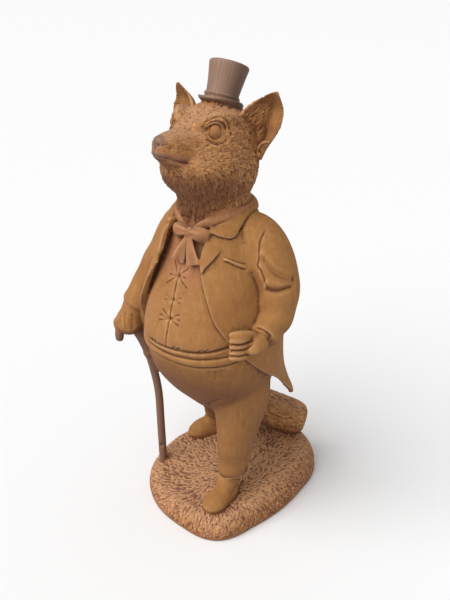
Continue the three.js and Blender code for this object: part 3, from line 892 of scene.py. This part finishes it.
lobe_places = ((0.95, 0.28), (0.3, 0.2), (0.1, 0.1), (0.7, 0.03))
for hand, slip in EAR_SLIPS:
    lobe = [ear_point(hand, slip, s, along, 0.6) for s, along in lobe_places]
    limb(f"ear_lobe_{hand}", "ear", lobe, [(0, 1.4, 1.4), (0.5, 2, 2), (1, 1.4, 1.4)], (0, 0, 1), 3)

# %% [markdown]
# ## The hat
#
# The hat is turned: half of its outline is spun round its axis. It flares towards the top, has a
# band, and leans back with the head.

# %% Build the hat
HAT_TILT = HEAD_PITCH + math.radians(7)
HAT_SEAT = on_head(3, 0, 27.5)


def crown_wall(height):
    return lerp(HAT_CROWN_RADIUS, HAT_TOP_RADIUS, (height / HAT_CROWN_HEIGHT) ** 1.6)


band = HAT_CROWN_RADIUS + HAT_BAND_CLOTH
band_edge = [(band + 0.9, 0), (band + 1.1, 0.8), (band + 0.9, 1.7), (band - 0.1, 2)]
hat_outline = [
    (0, -5),
    (HAT_CROWN_RADIUS, -5),
    (HAT_CROWN_RADIUS, 0),
    (HAT_BRIM_RADIUS - 1, 1.2),
    (HAT_BRIM_RADIUS, 2 + HAT_BRIM_CLOTH / 2),
    (HAT_BRIM_RADIUS - 1, 1.2 + HAT_BRIM_CLOTH),
    (band, HAT_BRIM_CLOTH),
    (band, HAT_BAND_HEIGHT - 2),
    *[(radius, HAT_BAND_HEIGHT - 2 + rise) for radius, rise in band_edge],
    *[(crown_wall(h), h) for h in np.linspace(HAT_BAND_HEIGHT, HAT_CROWN_HEIGHT - 1.5, 12)],
    (HAT_TOP_RADIUS - 1.5, HAT_CROWN_HEIGHT),
    (0, HAT_CROWN_HEIGHT),
]


def hat_place(turn, travel):
    outline = np.array(hat_outline, float)
    run = np.cumsum(np.r_[0, np.hypot(*np.diff(outline, axis=0).T)])
    radius, height = (np.interp(travel, run / run[-1], outline[:, k]) for k in (0, 1))
    angle = turn * 2 * math.pi
    brim = step(radius, band + 1, HAT_BRIM_RADIUS)
    height = height + 2.4 * brim * np.cos(angle) ** 2 * (height < 6)
    x, y = np.cos(angle) * radius * (1 - 0.06 * brim * (height < 8)), np.sin(angle) * radius
    c, s = math.cos(HAT_TILT), math.sin(HAT_TILT)
    return vec(x, y * c + height * s, height * c - y * s) + HAT_SEAT


ball("hat", "felt", hat_place, 110, 180)
hat_axis = (0, math.sin(HAT_TILT), math.cos(HAT_TILT))
recover("fur", lambda places: (places - HAT_SEAT) @ hat_axis < 0.3)
print(len(forms), "forms with", sum(len(form[2]) for form in forms), "points")

# %% [markdown]
# ## One skin
#
# Joined forms still pass through each other. A voxel remesh melts them into a single closed skin
# of even squares, and rounds the seams between them a little, as slip and casting do. Every point
# of the skin then asks which form is nearest, and takes that form's cover. Before that, crumbs that
# hang loose in the vent of the coat are dropped, and the faces of the head are split once more,
# because its fur is the finest work on the figure.

# %% Melt the forms into one skin
form_objects, covers, places, owns = zip(*forms)
form_own = np.concatenate(owns)
form_covers = np.concatenate([np.broadcast_to(cover, len(points)) for cover, points in zip(covers, places)])
near = search_tree(np.concatenate(places))

select_only(*form_objects)
bpy.ops.object.join()
fox = bpy.context.object
fox.name = "fox_statue_cast"
fox.data.name = "fox_statue_cast"
remesh = fox.modifiers.new("one skin", "REMESH")
remesh.mode = "VOXEL"
remesh.voxel_size = SKIN_STEP * MM
bpy.ops.object.modifier_apply(modifier=remesh.name)


# %% Drop the loose crumbs
def select_points(chosen):
    """Opens the casting for editing with only the chosen points selected."""
    select_only(fox)
    bpy.ops.object.mode_set(mode="EDIT")
    bpy.ops.mesh.select_mode(type="VERT")
    bpy.ops.mesh.select_all(action="DESELECT")
    bpy.ops.object.mode_set(mode="OBJECT")
    fox.data.vertices.foreach_set("select", chosen)
    bpy.ops.object.mode_set(mode="EDIT")


heights = positions(fox.data)[:, 2]
select_points(heights == heights.min())
bpy.ops.mesh.select_linked()
bpy.ops.mesh.select_all(action="INVERT")
bpy.ops.mesh.delete(type="VERT")
bpy.ops.object.mode_set(mode="OBJECT")
print("dropped", len(heights) - len(fox.data.vertices), "loose points")
skin = positions(fox.data) / MM

# %% Split the faces of the head once more
below_hat = (skin - HEAD_MIDDLE) @ HEAD_UP < 27
beside_hat = np.abs(skin[:, 0] - HEAD_MIDDLE[0]) > 25
head_part = (skin[:, 2] > MOUND_HEIGHT + 296) & (below_hat | beside_hat)
select_points(head_part)
bpy.ops.mesh.subdivide(number_cuts=1)
bpy.ops.object.mode_set(mode="OBJECT")
skin = positions(fox.data) / MM
print("the skin has", len(skin), "points")

# %% Find what covers each point
nearest = np.array([near.find(p)[1] for p in skin])
cover, own = form_covers[nearest], form_own[nearest]
edges = np.empty(len(fox.data.edges) * 2, int)
fox.data.edges.foreach_get("vertices", edges)
edges = edges.reshape(-1, 2)


def soften(values, times=1, part=None):
    """Averages the values of the part's points with their neighbours'."""
    values = values.astype(float)
    part = np.ones(len(values), bool) if part is None else part
    used = edges[part[edges].any(1)]
    points, local = np.unique(used, return_inverse=True)
    local = local.reshape(-1, 2)
    flat = values.reshape(len(values), -1)[points]
    degree, moves = np.bincount(local.ravel())[:, None], part[points][:, None]
    for _ in range(times):
        total = [
            np.bincount(local[:, 0], flat[local[:, 1], k], len(flat))
            + np.bincount(local[:, 1], flat[local[:, 0], k], len(flat))
            for k in range(flat.shape[1])
        ]
        flat = np.where(moves, (flat + np.stack(total, 1) / degree) / 2, flat)
    result = values.reshape(len(values), -1).copy()
    result[points] = flat
    return result.reshape(values.shape)


def covered(*names, times=3):
    """How much each point is covered by these, with soft borders."""
    return soften(np.isin(cover, names), times)


def normals():
    found = np.empty(len(fox.data.vertices) * 3)
    fox.data.vertex_normals.foreach_get("vector", found)
    return found.reshape(-1, 3)


for name in np.unique(cover):
    print(name, "covers", int((cover == name).sum()), "points")

# %% [markdown]
# ## Joins smoothed by thumb
#
# A sculptor smooths the joins that shouldn't show: where the neck meets the head, where the legs
# leave the belly, and round the hands. Everywhere else the creases between the forms stay crisp.

# %% Smooth the joins
skin = soften(skin, 2)
skin = soften(skin, 3, covered("fur", "ear", "lip", "bare", times=2) > 0.2)
rubbings = {300: ["fur"], 90: ["trousers"], 5: ["hand"], 10: ["brush"], 15: ["grass"], 8: ["lip", "bare"]}
for times, names in rubbings.items():
    skin = soften(skin, times, covered(*names, times=6) > 0.8)
cloth = covered("cloth") > 0.9
for reach, times in ((17, 12), (15, 30), (12, 120)):
    shoulder = np.array([np.abs(skin - at(hand * 47, -12, 265)).max(1) < reach for hand in (1, -1)]).any(0)
    skin = soften(skin, times, shoulder & cloth)
lapel_end = np.linalg.norm(skin - on_coat(-26, 255, COAT_STAND), axis=1)
for reach, times in ((12, 12), (8, 40)):
    skin = soften(skin, times, lapel_end < reach)
move_points(fox.data, skin * MM)
out = normals()
skin_area = sum(face.area for face in fox.data.polygons) / MM**2
point_area = skin_area / len(skin)
relief = np.zeros(len(skin))
tone, lock_height = np.full(len(skin), 0.5), np.full(len(skin), 0.5)
skin_tree = search_tree(skin)
print("the skin measures", round(skin_area / 100), "square centimetres")

# %% [markdown]
# ## Fur and grass
#
# Fur on a casting is modelled as locks: each is a small pointed leaf that starts low and ends high,
# and the next ones lie over its root. Here a lock's root is a random point of the skin, its way
# comes from a flow over the body, and each point of the skin is raised by the highest lock near it.


# %% Lay locks on the skin
def locks(part, flow, length, width, seed, sway=14, share=0.8):
    """Heights from 0 to 1 of locks where part is true. The smaller the share, the more locks."""
    random = np.random.default_rng(seed)
    where = np.flatnonzero(part)
    length, width = (np.broadcast_to(size, len(skin)) for size in (length, width))
    crowd = point_area / (length * width)[where]
    roots = random.choice(where, int(crowd.sum() / share), replace=False, p=crowd / crowd.sum())
    tree = search_tree(skin[roots])
    close = np.array([[hit[1] for hit in tree.find_n(p, 12)] for p in skin[where]])
    angle = np.radians(random.normal(0, sway, len(roots)))[:, None]
    ways = unit(flow[roots] - np.sum(flow[roots] * out[roots], 1)[:, None] * out[roots])
    sides = np.cross(out[roots], ways)
    ways, sides = ways * np.cos(angle) + sides * np.sin(angle), sides * np.cos(angle) - ways * np.sin(angle)
    lengths, widths = length[roots] * random.uniform(0.75, 1.3, len(roots)), width[roots]
    widths = widths * random.uniform(0.8, 1.25, len(roots))
    rise, tones = random.uniform(0.55, 1, len(roots)), random.uniform(0, 1, len(roots))
    height, lock_tone = np.zeros(len(where)), np.full(len(where), 0.3)
    for n in close.T:
        away = skin[where] - skin[roots[n]]
        a = np.clip(np.sum(away * ways[n], 1) / lengths[n] + 0.5, 0, 1.1)
        b = np.sum(away * sides[n], 1) / widths[n]
        b = b / np.maximum(0.3, np.sqrt(np.clip(1.1 - a**2, 0, 1)))
        ramp = a**0.7 * (1 - step(a, 0.85, 1.02))
        lock = rise[n] * ramp * np.clip(1 - b**2, 0, 1)
        lock_tone = np.where(lock > height, tones[n], lock_tone)
        height = np.maximum(height, lock)
    tone[where], lock_height[where] = lock_tone, height
    result = np.zeros(len(skin))
    result[where] = height
    return result


# %% Comb the head and the neck
DOWN = np.array([0, 0, -1])
forward, left, up = ((skin - HEAD_MIDDLE) @ way for way in (HEAD_FORWARD, HEAD_LEFT, HEAD_UP))
fur = covered("fur")
falling = step(-up - 0.45 * forward, -2, 26)
back = -HEAD_FORWARD + 0.35 * np.sign(left)[:, None] * HEAD_LEFT + 0.15 * HEAD_UP
fur_flow = unit(lerp(back, DOWN - 0.25 * HEAD_FORWARD, falling[:, None]))
snout = step(forward, 26, 46) * step(up, -30, -22)
fur_length = lerp(lerp(5, 8, falling), 3.5, snout)
fur_width = lerp(lerp(1.3, 1.9, falling), 1.1, snout)
fur_depth = lerp(lerp(1.3, 2.2, falling), 0.45, snout)
relief += fur * fur_depth * (locks(fur > 0.02, fur_flow, fur_length, fur_width, 3, 16) - 0.45)

# %% Comb the ears and the tail
ear = covered("ear")
ear_side, ear_along = own[:, 0], own[:, 1]
hollow_side = ear * step(out @ HEAD_FORWARD + 0.2 * np.sign(left) * (out @ HEAD_LEFT), -0.1, 0.2)
ear_flow = np.broadcast_to(HEAD_UP, skin.shape)
outer_ear = ear - hollow_side
relief += outer_ear * 0.5 * (locks(outer_ear > 0.02, ear_flow, 6, 1.6, 6) - 0.45)
tufted = hollow_side * (1 - step(ear_side, 0.38, 0.5)) * step(0.92 - ear_along, 0, 0.2)
tuft_flow = unit(0.8 * np.sign(left)[:, None] * HEAD_LEFT + 0.7 * HEAD_UP)
relief += tufted * (0.8 + 1.9 * (locks(tufted > 0.02, tuft_flow, 10, 1.7, 9, 8) - 0.4))
relief -= 2.2 * hollow_side * bump(ear_side, 0.54, 0.07) * step(0.9 - ear_along, 0, 0.3) * (ear_along > 0.1)
rim_lines = 0.5 + 0.5 * np.cos(ear_along * 2 * math.pi * 30)
relief -= 0.45 * hollow_side * step(ear_side, 0.84, 0.9) * rim_lines

tail = covered("brush")
shares = np.linspace(0, 1, 200)
tail_places = curve(TAIL_LINE)(shares)
tail_ways = unit(np.gradient(tail_places, axis=0))
tail_tree = search_tree(tail_places)
tail_flow = np.zeros_like(skin)
for n in np.flatnonzero(tail > 0.02):
    tail_flow[n] = tail_ways[tail_tree.find(skin[n])[1]]
relief += tail * 0.75 * (locks(tail > 0.02, tail_flow, 8, 1.3, 7, 12, 0.5) - 0.45)

# %% Grow the grass
turf = covered("grass") * step(skin[:, 2], 1, 5)
foot = skin - at(20, -10, 0)
swirl = 0.5 * np.sin(skin[:, 0] / 23 + 1) + 0.4 * np.cos(skin[:, 1] / 27)
way_out = vec(foot[:, 0] - swirl * foot[:, 1], foot[:, 1] + swirl * foot[:, 0], 0 * swirl)
grass_flow = unit(unit(way_out) + 0.6 * DOWN)
relief += turf * (locks(turf > 0.02, grass_flow, 5.5, 1.2, 8, 17, 0.45) - 0.45)
print("the relief runs from", round(relief.min(), 2), "to", round(relief.max(), 2), "mm")

# %% [markdown]
# ## Seams and creases
#
# A line that the sculptor cuts is a groove along a curve, a roll of cloth is a ridge along one, and
# a fingertip leaves a dent. Each fades towards its ends.


# %% Cut lines into the skin
def score(points, depth, width):
    """Lowers the skin by depth along a curve, or raises it where depth is negative."""
    places = curve(points)(np.linspace(0, 1, 8 * len(points)))
    places = np.array([skin_tree.find(p)[0] for p in places])
    for _ in range(6):
        places[1:-1] = (places[:-2] + 2 * places[1:-1] + places[2:]) / 4
    low, high = places.min(0) - 3 * width, places.max(0) + 3 * width
    where = np.flatnonzero(np.all((skin > low) & (skin < high), 1))
    if not len(where):
        return
    runs = np.diff(places, axis=0)
    away = skin[where][:, None] - places[:-1]
    t = np.clip(np.sum(away * runs, 2) / np.maximum(np.sum(runs * runs, 1), 1e-6), 0, 1)
    gaps = np.linalg.norm(away - t[..., None] * runs, axis=2)
    first = gaps.argmin(1)
    everyone = np.arange(len(where))
    share = (t[everyone, first] + first) / len(runs)
    fade = step(share, 0, 0.12) * step(1 - share, 0, 0.12)
    relief[where] -= depth * fade * np.exp(-((gaps[everyone, first] / width) ** 2))


def score_all(place, lines):
    """Scores each (points, depth, width) of the lines, where place puts a point on the figure."""
    for points, depth, width in lines:
        score([place(*p) for p in points], depth, width)


def dent(point, depth, radius):
    point = skin_tree.find(point)[0]
    relief[:] -= depth * np.exp(-np.sum((skin - point) ** 2, 1) / radius**2)


# %% Cut the face
MOUTH = [(63, 1.5, -17), (59, 6, -20), (52, 10.5, -21), (45, 13, -20.8), (39, 16, -20.8), (35.5, 19, -22.5)]
NOSTRIL_SLIT = [(63, 5, -10), (62, 7.5, -9.5), (60, 8.5, -8)]
ROUND_EYE = [(5.5 * math.cos(a), 5.7 * math.sin(a) - 0.5, 4) for a in np.linspace(0, 2 * math.pi, 13)]
TEAR_LINE = [(-14, -3, 3), (-10, -1.4, 4), (-6.4, -0.6, 4)]
BETWEEN_LIDS = [(-10.5, 0.6, 4), (-6, 5, 4), (0, 7.6, 4), (5.6, 6, 3), (8.6, 1.4, 2)]
UNDER_BROW = [(-10, 4, 4), (-6, 8, 4), (1, 11.2, 4), (8, 9.4, 3), (12, 3, 1), (13, -3, 0)]
UNDER_EYE = [(-7, -6.8, 4), (-3, -9.4, 4), (2, -10.6, 4), (7, -8.6, 3), (10, -4, 1)]
for hand in (1, -1):
    score_all(partial(on_side, hand), [(MOUTH, 1.2, 0.9), (NOSTRIL_SLIT, 1, 0.8)])
    dent(on_side(hand, 65.5, 3.4, -10.5), 2.2, 1.4)
    lids = [(ROUND_EYE, 1.1, 0.6), (TEAR_LINE, 1.2, 0.8), (BETWEEN_LIDS, 1.2, 0.6)]
    score_all(partial(on_face, hand), [*lids, (UNDER_BROW, 1.3, 0.9), (UNDER_EYE, 0.9, 0.8)])
score([on_head(67, 0, -5), on_head(67.5, 0, -10), on_head(66, 0, -16), on_head(63, 0, -21)], 1.4, 0.8)


# %% Cut the waistcoat
def gather(heading, height, arms, depth):
    """Creases that pull away from a button's place, each with an angle from up and a length."""
    for angle, reach in arms:
        s, c = math.sin(math.radians(angle)), math.cos(math.radians(angle))
        line = [on_body(heading + r * s, height + r * c, 3) for r in (-1, reach / 2, reach + 1)]
        score(line, depth, 1.1)
    dent(on_body(heading, height, 3), 0.3, 3)


gather(-2, 247, [(-128, 16), (-98, 12), (-48, 18), (56, 16), (92, 10), (120, 16)], 0.8)
gather(-0.3, 227.7, [(-104, 9), (-78, 9), (72, 9), (98, 9)], 0.6)
gather(1.6, 212, [(-116, 11), (-90, 11), (-60, 11), (56, 10), (84, 10), (112, 10)], 0.8)
for heading in (-15, -11.5, 8, 12, 29, 33):
    height = waistcoat_hem(heading)[0] + 1.5
    score([on_body(heading + s, height + s, 3) for s in (-2.2, 0, 2.2)], 1.1, 1)
centre = [(-1.5, 264, 3), (-2, 246, 3), (0, 228, 3), (1.6, 210, 3), (1.1, 196, 3), (0.5, 182, 3)]
hem = [(h, waistcoat_hem(h)[0] - 1, 0) for h in range(-70, 71, 14)]
pleat = [(h, 178.5 + 0.0015 * h * h, 1) for h in range(-60, 71, 13)]
sash_edge = [(h, 170.6 + 0.0032 * max(h - 20, 0) ** 2, 0) for h in range(-60, 71, 13)]
score_all(on_body, [(centre, 1.2, 0.8), (hem, 1.2, 1), (pleat, 1, 0.9), (sash_edge, 1.4, 1.1)])

# %% Cut the sleeves and the hands
shoulder_seam = [(56.6, -1.5, 289.5), (57.4, -9.3, 283.9), (57.6, -12.2, 277.5), (59.5, -15, 268)]
shoulder_seam += [(59.2, -16.4, 260), (62.4, -15.9, 257), (65.9, -15.6, 249.5), (69, -15.5, 243)]
upper_fold = [(60.2, -14.8, 270), (67.2, -14.5, 261.5), (74.1, -11, 254), (81, -3.7, 249.8), (86, 5, 249)]
lower_fold = [(66, -15.5, 243), (70.4, -15.5, 240.9), (77.3, -12.2, 241.1), (81.1, -8.1, 243), (84, 2, 244)]
over_upper = [(x, y, z + 8) for x, y, z in upper_fold]
over_lower = [(x, y, z + 7) for x, y, z in lower_fold]
cuff_edge = [(80, -22, 190), (80, -23, 200), (74, -27, 208), (64, -28, 209)]
score_all(at, [(shoulder_seam, 1.2, 1.1), ([(-x, y, z) for x, y, z in shoulder_seam], 1.2, 1.1)])
score_all(at, [(upper_fold, 1.8, 3.2), (over_upper, -1.4, 4.5), (lower_fold, 2.2, 2.6), (over_lower, -1, 5)])
score_all(at, [(cuff_edge, 1.6, 1.4)])
for z in (200.3, 194.8, 189.6):
    score_all(at, [([(71, -33, z + 0.8), (67, -42, z + 0.3), (62, -51, z), (54, -53, z - 1.5)], 1.3, 1)])
knuckles = [
    [(-83.4, -42.5, 180), (-81.8, -45.9, 173), (-79.1, -48.3, 166)],
    [(-81, -38.7, 181.5), (-78.7, -42.1, 173.7), (-75.5, -45.2, 165)],
    [(-77.6, -35.3, 181), (-75.1, -38.3, 173.4), (-71.8, -41.3, 165)],
]
score_all(at, [(groove, 0.7, 1.5) for groove in knuckles])

# %% Cut the coat and the trousers
collar_edge = [(36, 285, 1), (50, 281.6, 1), (57, 281, 1), (62, 282.4, 1), (68, 287, 1), (80, 292.4, 1)]
collar_edge += [(100, 295.4, 1), (140, 297, 1)]
back_seam = [(180, z, 1) for z in (292, 260, 220, 180, 160)]
vent = [(180, z, -2) for z in (160, 140, 120, 96)]
score_all(on_coat, [(collar_edge, 1.1, 1), ([(-h, z, lift) for h, z, lift in collar_edge], 1.1, 1)])
score_all(on_coat, [(back_seam, 0.7, 0.9), (vent, 2, 1.4)])
for rise, depth, width in ((0, 1.2, 0.9), (2.4, -0.8, 1.6), (4.6, 0.5, 0.8)):
    welt = [(46.5, 264.6 + rise, 2), (58, 259.8 + rise, 2), (69, 255.4 + rise, 2)]
    score_all(on_coat, [(welt, depth, width)])
for heading, reach in ((35, 9), (39.5, 12), (44, 9)):
    score_all(on_body, [([(heading, z, 0) for z in (169, 169 - reach / 2, 169 - reach)], 0.5, 1.6)])
groin = [(12, -20, 114), (20, -32, 119), (30, -36, 125), (38, -34, 133)]
turns = np.linspace(-2.6, 2.6, 12)
hem_ring = [(31 + 18 * math.sin(a), -13 - 19 * math.cos(a), 32.5 - 1.5 * math.cos(a)) for a in turns]
score_all(at, [(groin, 1.8, 2.8), (hem_ring, 2.2, 1.2)])
dent(at(-58, -24, 22), 3, 2)

# %% Press the relief into the skin
move_points(fox.data, (skin + out * relief[:, None]) * MM)

# %% [markdown]
# ## Worn places, painted shade and painted highlights
#
# Rust is darker and browner in the hollows, and shade is painted there as well; the rust is thin
# where hands and rain rub it. Raised places and the high ends of locks get a painted highlight.
# How far a point stands out from the smoothed skin tells the hollows from the raised places, and
# it is kept as an attribute that the finish reads. Shade is also painted on faces that look down,
# below the jaw, on the legs below the belly and on the hat's side away from the sun, light is
# painted on the tops of fur and grass, and the cane is given a darker tone of its own. The skin
# is then thinned to fewer triangles, most where it is plain, and no point of it is left outside
# the box of the frame.

# %% Keep the hollows, the painted shade and highlights, and the wear
worked = positions(fox.data) / MM
out = normals()
fine = np.sum((worked - soften(worked, 6)) * out, 1)
broad = np.sum((worked - soften(worked, 40)) * out, 1)


def attribute(name, values):
    layer = fox.data.attributes.new(name, "FLOAT", "POINT")
    layer.data.foreach_set("value", np.clip(values, 0, 1).astype(np.float32))


combed = fur + tail + turf + outer_ear + tufted
# The hollow attribute darkens creases, broad hollows and the gaps between locks: partly darker rust that
# gathers there, partly painted shade.
between_locks = (0.6 * combed - 0.3 * turf - 0.25 * tail) * (0.4 - lock_height)
attribute("hollow", 0.4 - 1.6 * fine - 0.12 * broad + between_locks)
# Painted highlight on raised places and on the high ends of locks.
attribute("peak", 1.8 * fine + 0.1 * broad + 0.5 * combed * (lock_height - 0.5))
felt, stick = covered("felt"), covered("stick", times=8)
worn = covered("felt", times=8) + 1.1 * covered("bare", times=30) + 0.5 * covered("lip", times=60)
attribute("worn", worn + 0.75 * stick + 0.35 * covered("satin", times=6))
# Painted shade below the jaw.
throat_shade = fur * step(-up - 0.2 * forward, 12, 34) * step(forward, -10, 20)
# Painted shade on the hat's side away from the sun, with a slight darkening of the whole hat.
hat_tone_and_shaded_side = felt * (0.15 + 0.8 * step(out @ (0.77, 0.64, 0), 0, 0.9))
# Painted shade on faces that look down and on the legs below the belly; the cane's darker tone, added here
# too, is its own colour.
painted_shade_and_dark_cane = 0.95 * step(-out[:, 2], -0.2, 0.8) * (1 - throat_shade)
painted_shade_and_dark_cane += 0.5 * stick + 0.3 * covered("trousers", times=20) + hat_tone_and_shaded_side
attribute("shade", soften(throat_shade + painted_shade_and_dark_cane, 6))
# Painted light on the tops of fur and grass.
attribute("painted_top_light", combed * step(out[:, 2], 0.3, 0.95))
golden = covered("cloth", "trousers", "leather", "hand", times=10)
golden += 0.35 * covered("grass", "satin", times=10)
golden += 0.7 * covered("waistcoat", "fur", "brush", "ear", "lid", "eye", times=10)
attribute("golden", golden - 0.5 * covered("waistcoat") * step(skin[:, 2] - MOUND_HEIGHT, 235, 255))
attribute("combed", combed)
attribute("tone", tone)
attribute("streaked", felt)
attribute("streak", own[:, 0])

# %% Thin the skin
select_only(fox)
thin = fox.modifiers.new("thin", "DECIMATE")
thin.ratio = MOST_TRIANGLES / (2 * len(fox.data.polygons))
thin.use_collapse_triangulate = True
bpy.ops.object.modifier_apply(modifier=thin.name)
bpy.ops.object.shade_smooth()
low, high = np.add(cad_low, BOX_INSET), np.subtract(cad_high, BOX_INSET)
move_points(fox.data, np.clip(positions(fox.data), low, high))
print("the casting has", len(fox.data.polygons), "triangles")

# %% [markdown]
# ## Rust, with painted shade and light
#
# The finish is a dry, even coat of orange-brown rust that has been rubbed back in places. Noise at
# several sizes mottles it, each lock of fur or grass has a tone of its own, the hollows are darker
# with rust and with painted shade, and the worn places show greyish metal. Over the rust go
# painted shade on the undersides and the side away from the sun, painted light on the tops of fur
# and grass, and painted highlights on raised places. Layers are mixed one over the other.


# %% Write shader maths as Python
class Value:
    """A socket that can be used in sums."""

    def __init__(self, tree, socket):
        self.tree, self.socket = tree, socket

    def sum(self, operation, a, b):
        return self.tree.node("ShaderNodeMath", {"operation": operation}, [a, b])

    def __add__(self, other):
        return self.sum("ADD", self, other)

    def __sub__(self, other):
        return self.sum("SUBTRACT", self, other)

    def __rsub__(self, other):
        return self.sum("SUBTRACT", other, self)

    def __mul__(self, other):
        return self.sum("MULTIPLY", self, other)

    __radd__, __rmul__ = __add__, __mul__


class Finish:
    """A material's nodes."""

    def __init__(self, name):
        self.material = bpy.data.materials.new(name)
        self.material.use_nodes = True
        self.nodes = self.material.node_tree.nodes
        self.shader = self.nodes["Principled BSDF"]

    def link(self, socket, value):
        if isinstance(value, Value):
            self.material.node_tree.links.new(value.socket, socket)
        else:
            socket.default_value = value

    def node(self, kind, settings=None, inputs=(), output=0):
        made = self.nodes.new(kind)
        for key, value in (settings or {}).items():
            setattr(made, key, value)
        for key, value in inputs.items() if isinstance(inputs, dict) else enumerate(inputs):
            self.link(made.inputs[key], value)
        return Value(self, made.outputs[output])

    def noise(self, size, detail=3, roughness=0.6, stretch=(1, 1, 1)):
        where = self.node("ShaderNodeTexCoord", output="Object")
        where = self.node("ShaderNodeMapping", None, {"Vector": where, "Scale": stretch})
        inputs = {"Vector": where, "Scale": 1 / size, "Detail": detail, "Roughness": roughness}
        return self.node("ShaderNodeTexNoise", None, inputs)

    def attribute(self, name, output="Fac"):
        return self.node("ShaderNodeAttribute", {"attribute_name": name}, output=output)

    def between(self, value, low, high):
        inputs = {"Value": value, "From Min": low, "From Max": high}
        return self.node("ShaderNodeMapRange", {"interpolation_type": "SMOOTHSTEP"}, inputs)

    def mix(self, share, a, b):
        made = self.nodes.new("ShaderNodeMix")
        made.data_type = "RGBA"
        for key, value in ((0, share), (6, a), (7, b)):
            self.link(made.inputs[key], value)
        return Value(self, made.outputs[2])


def srgb(r, g, b):
    def linear(v):
        v = v / 255
        return v / 12.92 if v < 0.04045 else ((v + 0.055) / 1.055) ** 2.4

    return (linear(r), linear(g), linear(b), 1)


# %% Mix the rust and the painted shade and light
rust = Finish("rust")
names = ("hollow", "peak", "worn", "shade", "golden", "combed", "tone", "streaked")
hollow, peak, worn_here, shade, golden_here, combed_here, lock_tone, streaked = map(rust.attribute, names)
patches = rust.noise(0.045, 4)
mottle = rust.noise(0.006, 4)
grain = rust.noise(0.0016, 2)
runs = rust.noise(0.0035, 4, stretch=(1, 1, 0.25))
around = {"W": rust.attribute("streak") * 90, "Scale": 1, "Detail": 3}
streaks = rust.node("ShaderNodeTexNoise", {"noise_dimensions": "1D"}, around)
yellow = rust.between(golden_here + 1.2 * (patches - 0.5), 0.1, 0.9)
colour = rust.mix(yellow, srgb(160, 106, 70), srgb(158, 109, 56))
for share, tint in (
    (rust.between(mottle, 0.45, 0.75) * 0.4, (180, 128, 78)),
    (rust.between(runs, 0.5, 0.8) * 0.4, (186, 138, 92)),
    (rust.between(runs, 0.48, 0.25) * 0.35, (118, 70, 34)),
    (rust.between(patches, 0.5, 0.75) * 0.5, (140, 84, 38)),
    # painted light on the tops of fur and grass
    (rust.attribute("painted_top_light") * 0.45, (204, 160, 124)),
    (rust.between(lock_tone, 0.5, 1) * combed_here * 0.6, (210, 152, 98)),
    (rust.between(lock_tone, 0.5, 0) * combed_here * 0.6, (104, 52, 24)),
    # painted highlight on raised places
    (rust.between(peak, 0.1, 0.7) * 0.5, (222, 176, 132)),
    # painted shade, and the cane's own darker tone
    (shade * 0.75, (84, 40, 14)),
    # darker rust and painted shade in the hollows
    (rust.between(hollow, 0.42, 0.85) * 0.8, (78, 34, 12)),
):
    colour = rust.mix(share, colour, srgb(*tint))
bare = rust.between(worn_here + 0.7 * rust.noise(0.012, 4) - 0.35, 0.25, 0.95)
iron = rust.mix(rust.between(streaks, 0.3, 0.7) * streaked, srgb(128, 106, 92), srgb(152, 132, 118))
# Bare metal shows where it is worn; it is darker where shade is painted and on the cane.
colour = rust.mix(bare * 0.7, colour, rust.mix(shade * 0.6, iron, srgb(74, 50, 38)))
rust.link(rust.shader.inputs["Base Color"], colour)
rust.link(rust.shader.inputs["Roughness"], 0.86 - 0.22 * bare + 0.1 * (mottle - 0.5))
rust.link(rust.shader.inputs["Metallic"], 0.1 + 0.25 * bare)
rough_skin = {"Height": grain * 0.6 + mottle * 0.4 + runs * 0.5, "Strength": 0.35, "Distance": 0.0006}
rust.link(rust.shader.inputs["Normal"], rust.node("ShaderNodeBump", None, rough_skin, "Normal"))
fox.data.materials.clear()
fox.data.materials.append(rust.material)
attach(fox, "root")
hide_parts("fox_statue")

# %% [markdown]
# ## The picture
#
# The camera stands at the fox's front left, a little above its hat, with a short telephoto view. A
# pale floor, a white surround and one broad, soft sun from in front of the fox give soft shadows.

# %% Set the camera and the lights
FLOOR_SIZE = 60
CAMERA_TURN = math.radians(40)
CAMERA_AWAY = 0.6
CAMERA_HEIGHT = 0.51
FOCUS_HEIGHT = 0.225
SUN_PLACE = (-0.35, -1.35, 1.75)
SUN_SPREAD = math.radians(60)

bpy.ops.mesh.primitive_plane_add(size=FLOOR_SIZE, location=(0, 0, 0))
floor = bpy.context.object
floor.name = "floor"
paper = Finish("paper")
paper.link(paper.shader.inputs["Base Color"], (0.9, 0.9, 0.9, 1))
paper.link(paper.shader.inputs["Roughness"], 0.9)
floor.data.materials.append(paper.material)

focus = Vector((FIGURE_X * MM, FIGURE_Y * MM, FOCUS_HEIGHT))


def aimed(name, data, place):
    """A new object with this data that looks from its place at the middle of the fox."""
    made = bpy.data.objects.new(name, data)
    bpy.context.collection.objects.link(made)
    made.location = place
    made.rotation_euler = (focus - Vector(place)).to_track_quat("-Z", "Y").to_euler()
    return made


lens = bpy.data.cameras.new("camera")
lens.lens, lens.sensor_width, lens.shift_x = 42.9, 36, 0.015
aside = CAMERA_AWAY * math.sin(CAMERA_TURN)
before = CAMERA_AWAY * math.cos(CAMERA_TURN)
camera = aimed("camera", lens, (aside + focus.x, focus.y - before, CAMERA_HEIGHT))
bpy.context.scene.camera = camera

sun = bpy.data.lights.new("sun", "SUN")
sun.angle, sun.energy = SUN_SPREAD, 2.75
aimed("sun", sun, SUN_PLACE)
world = bpy.data.worlds.new("white surround")
world.use_nodes = True
surround = world.node_tree.nodes["Background"].inputs
surround["Color"].default_value = (1, 1, 1, 1)
surround["Strength"].default_value = 0.45
bpy.context.scene.world = world
bpy.context.scene.view_settings.view_transform = "Standard"
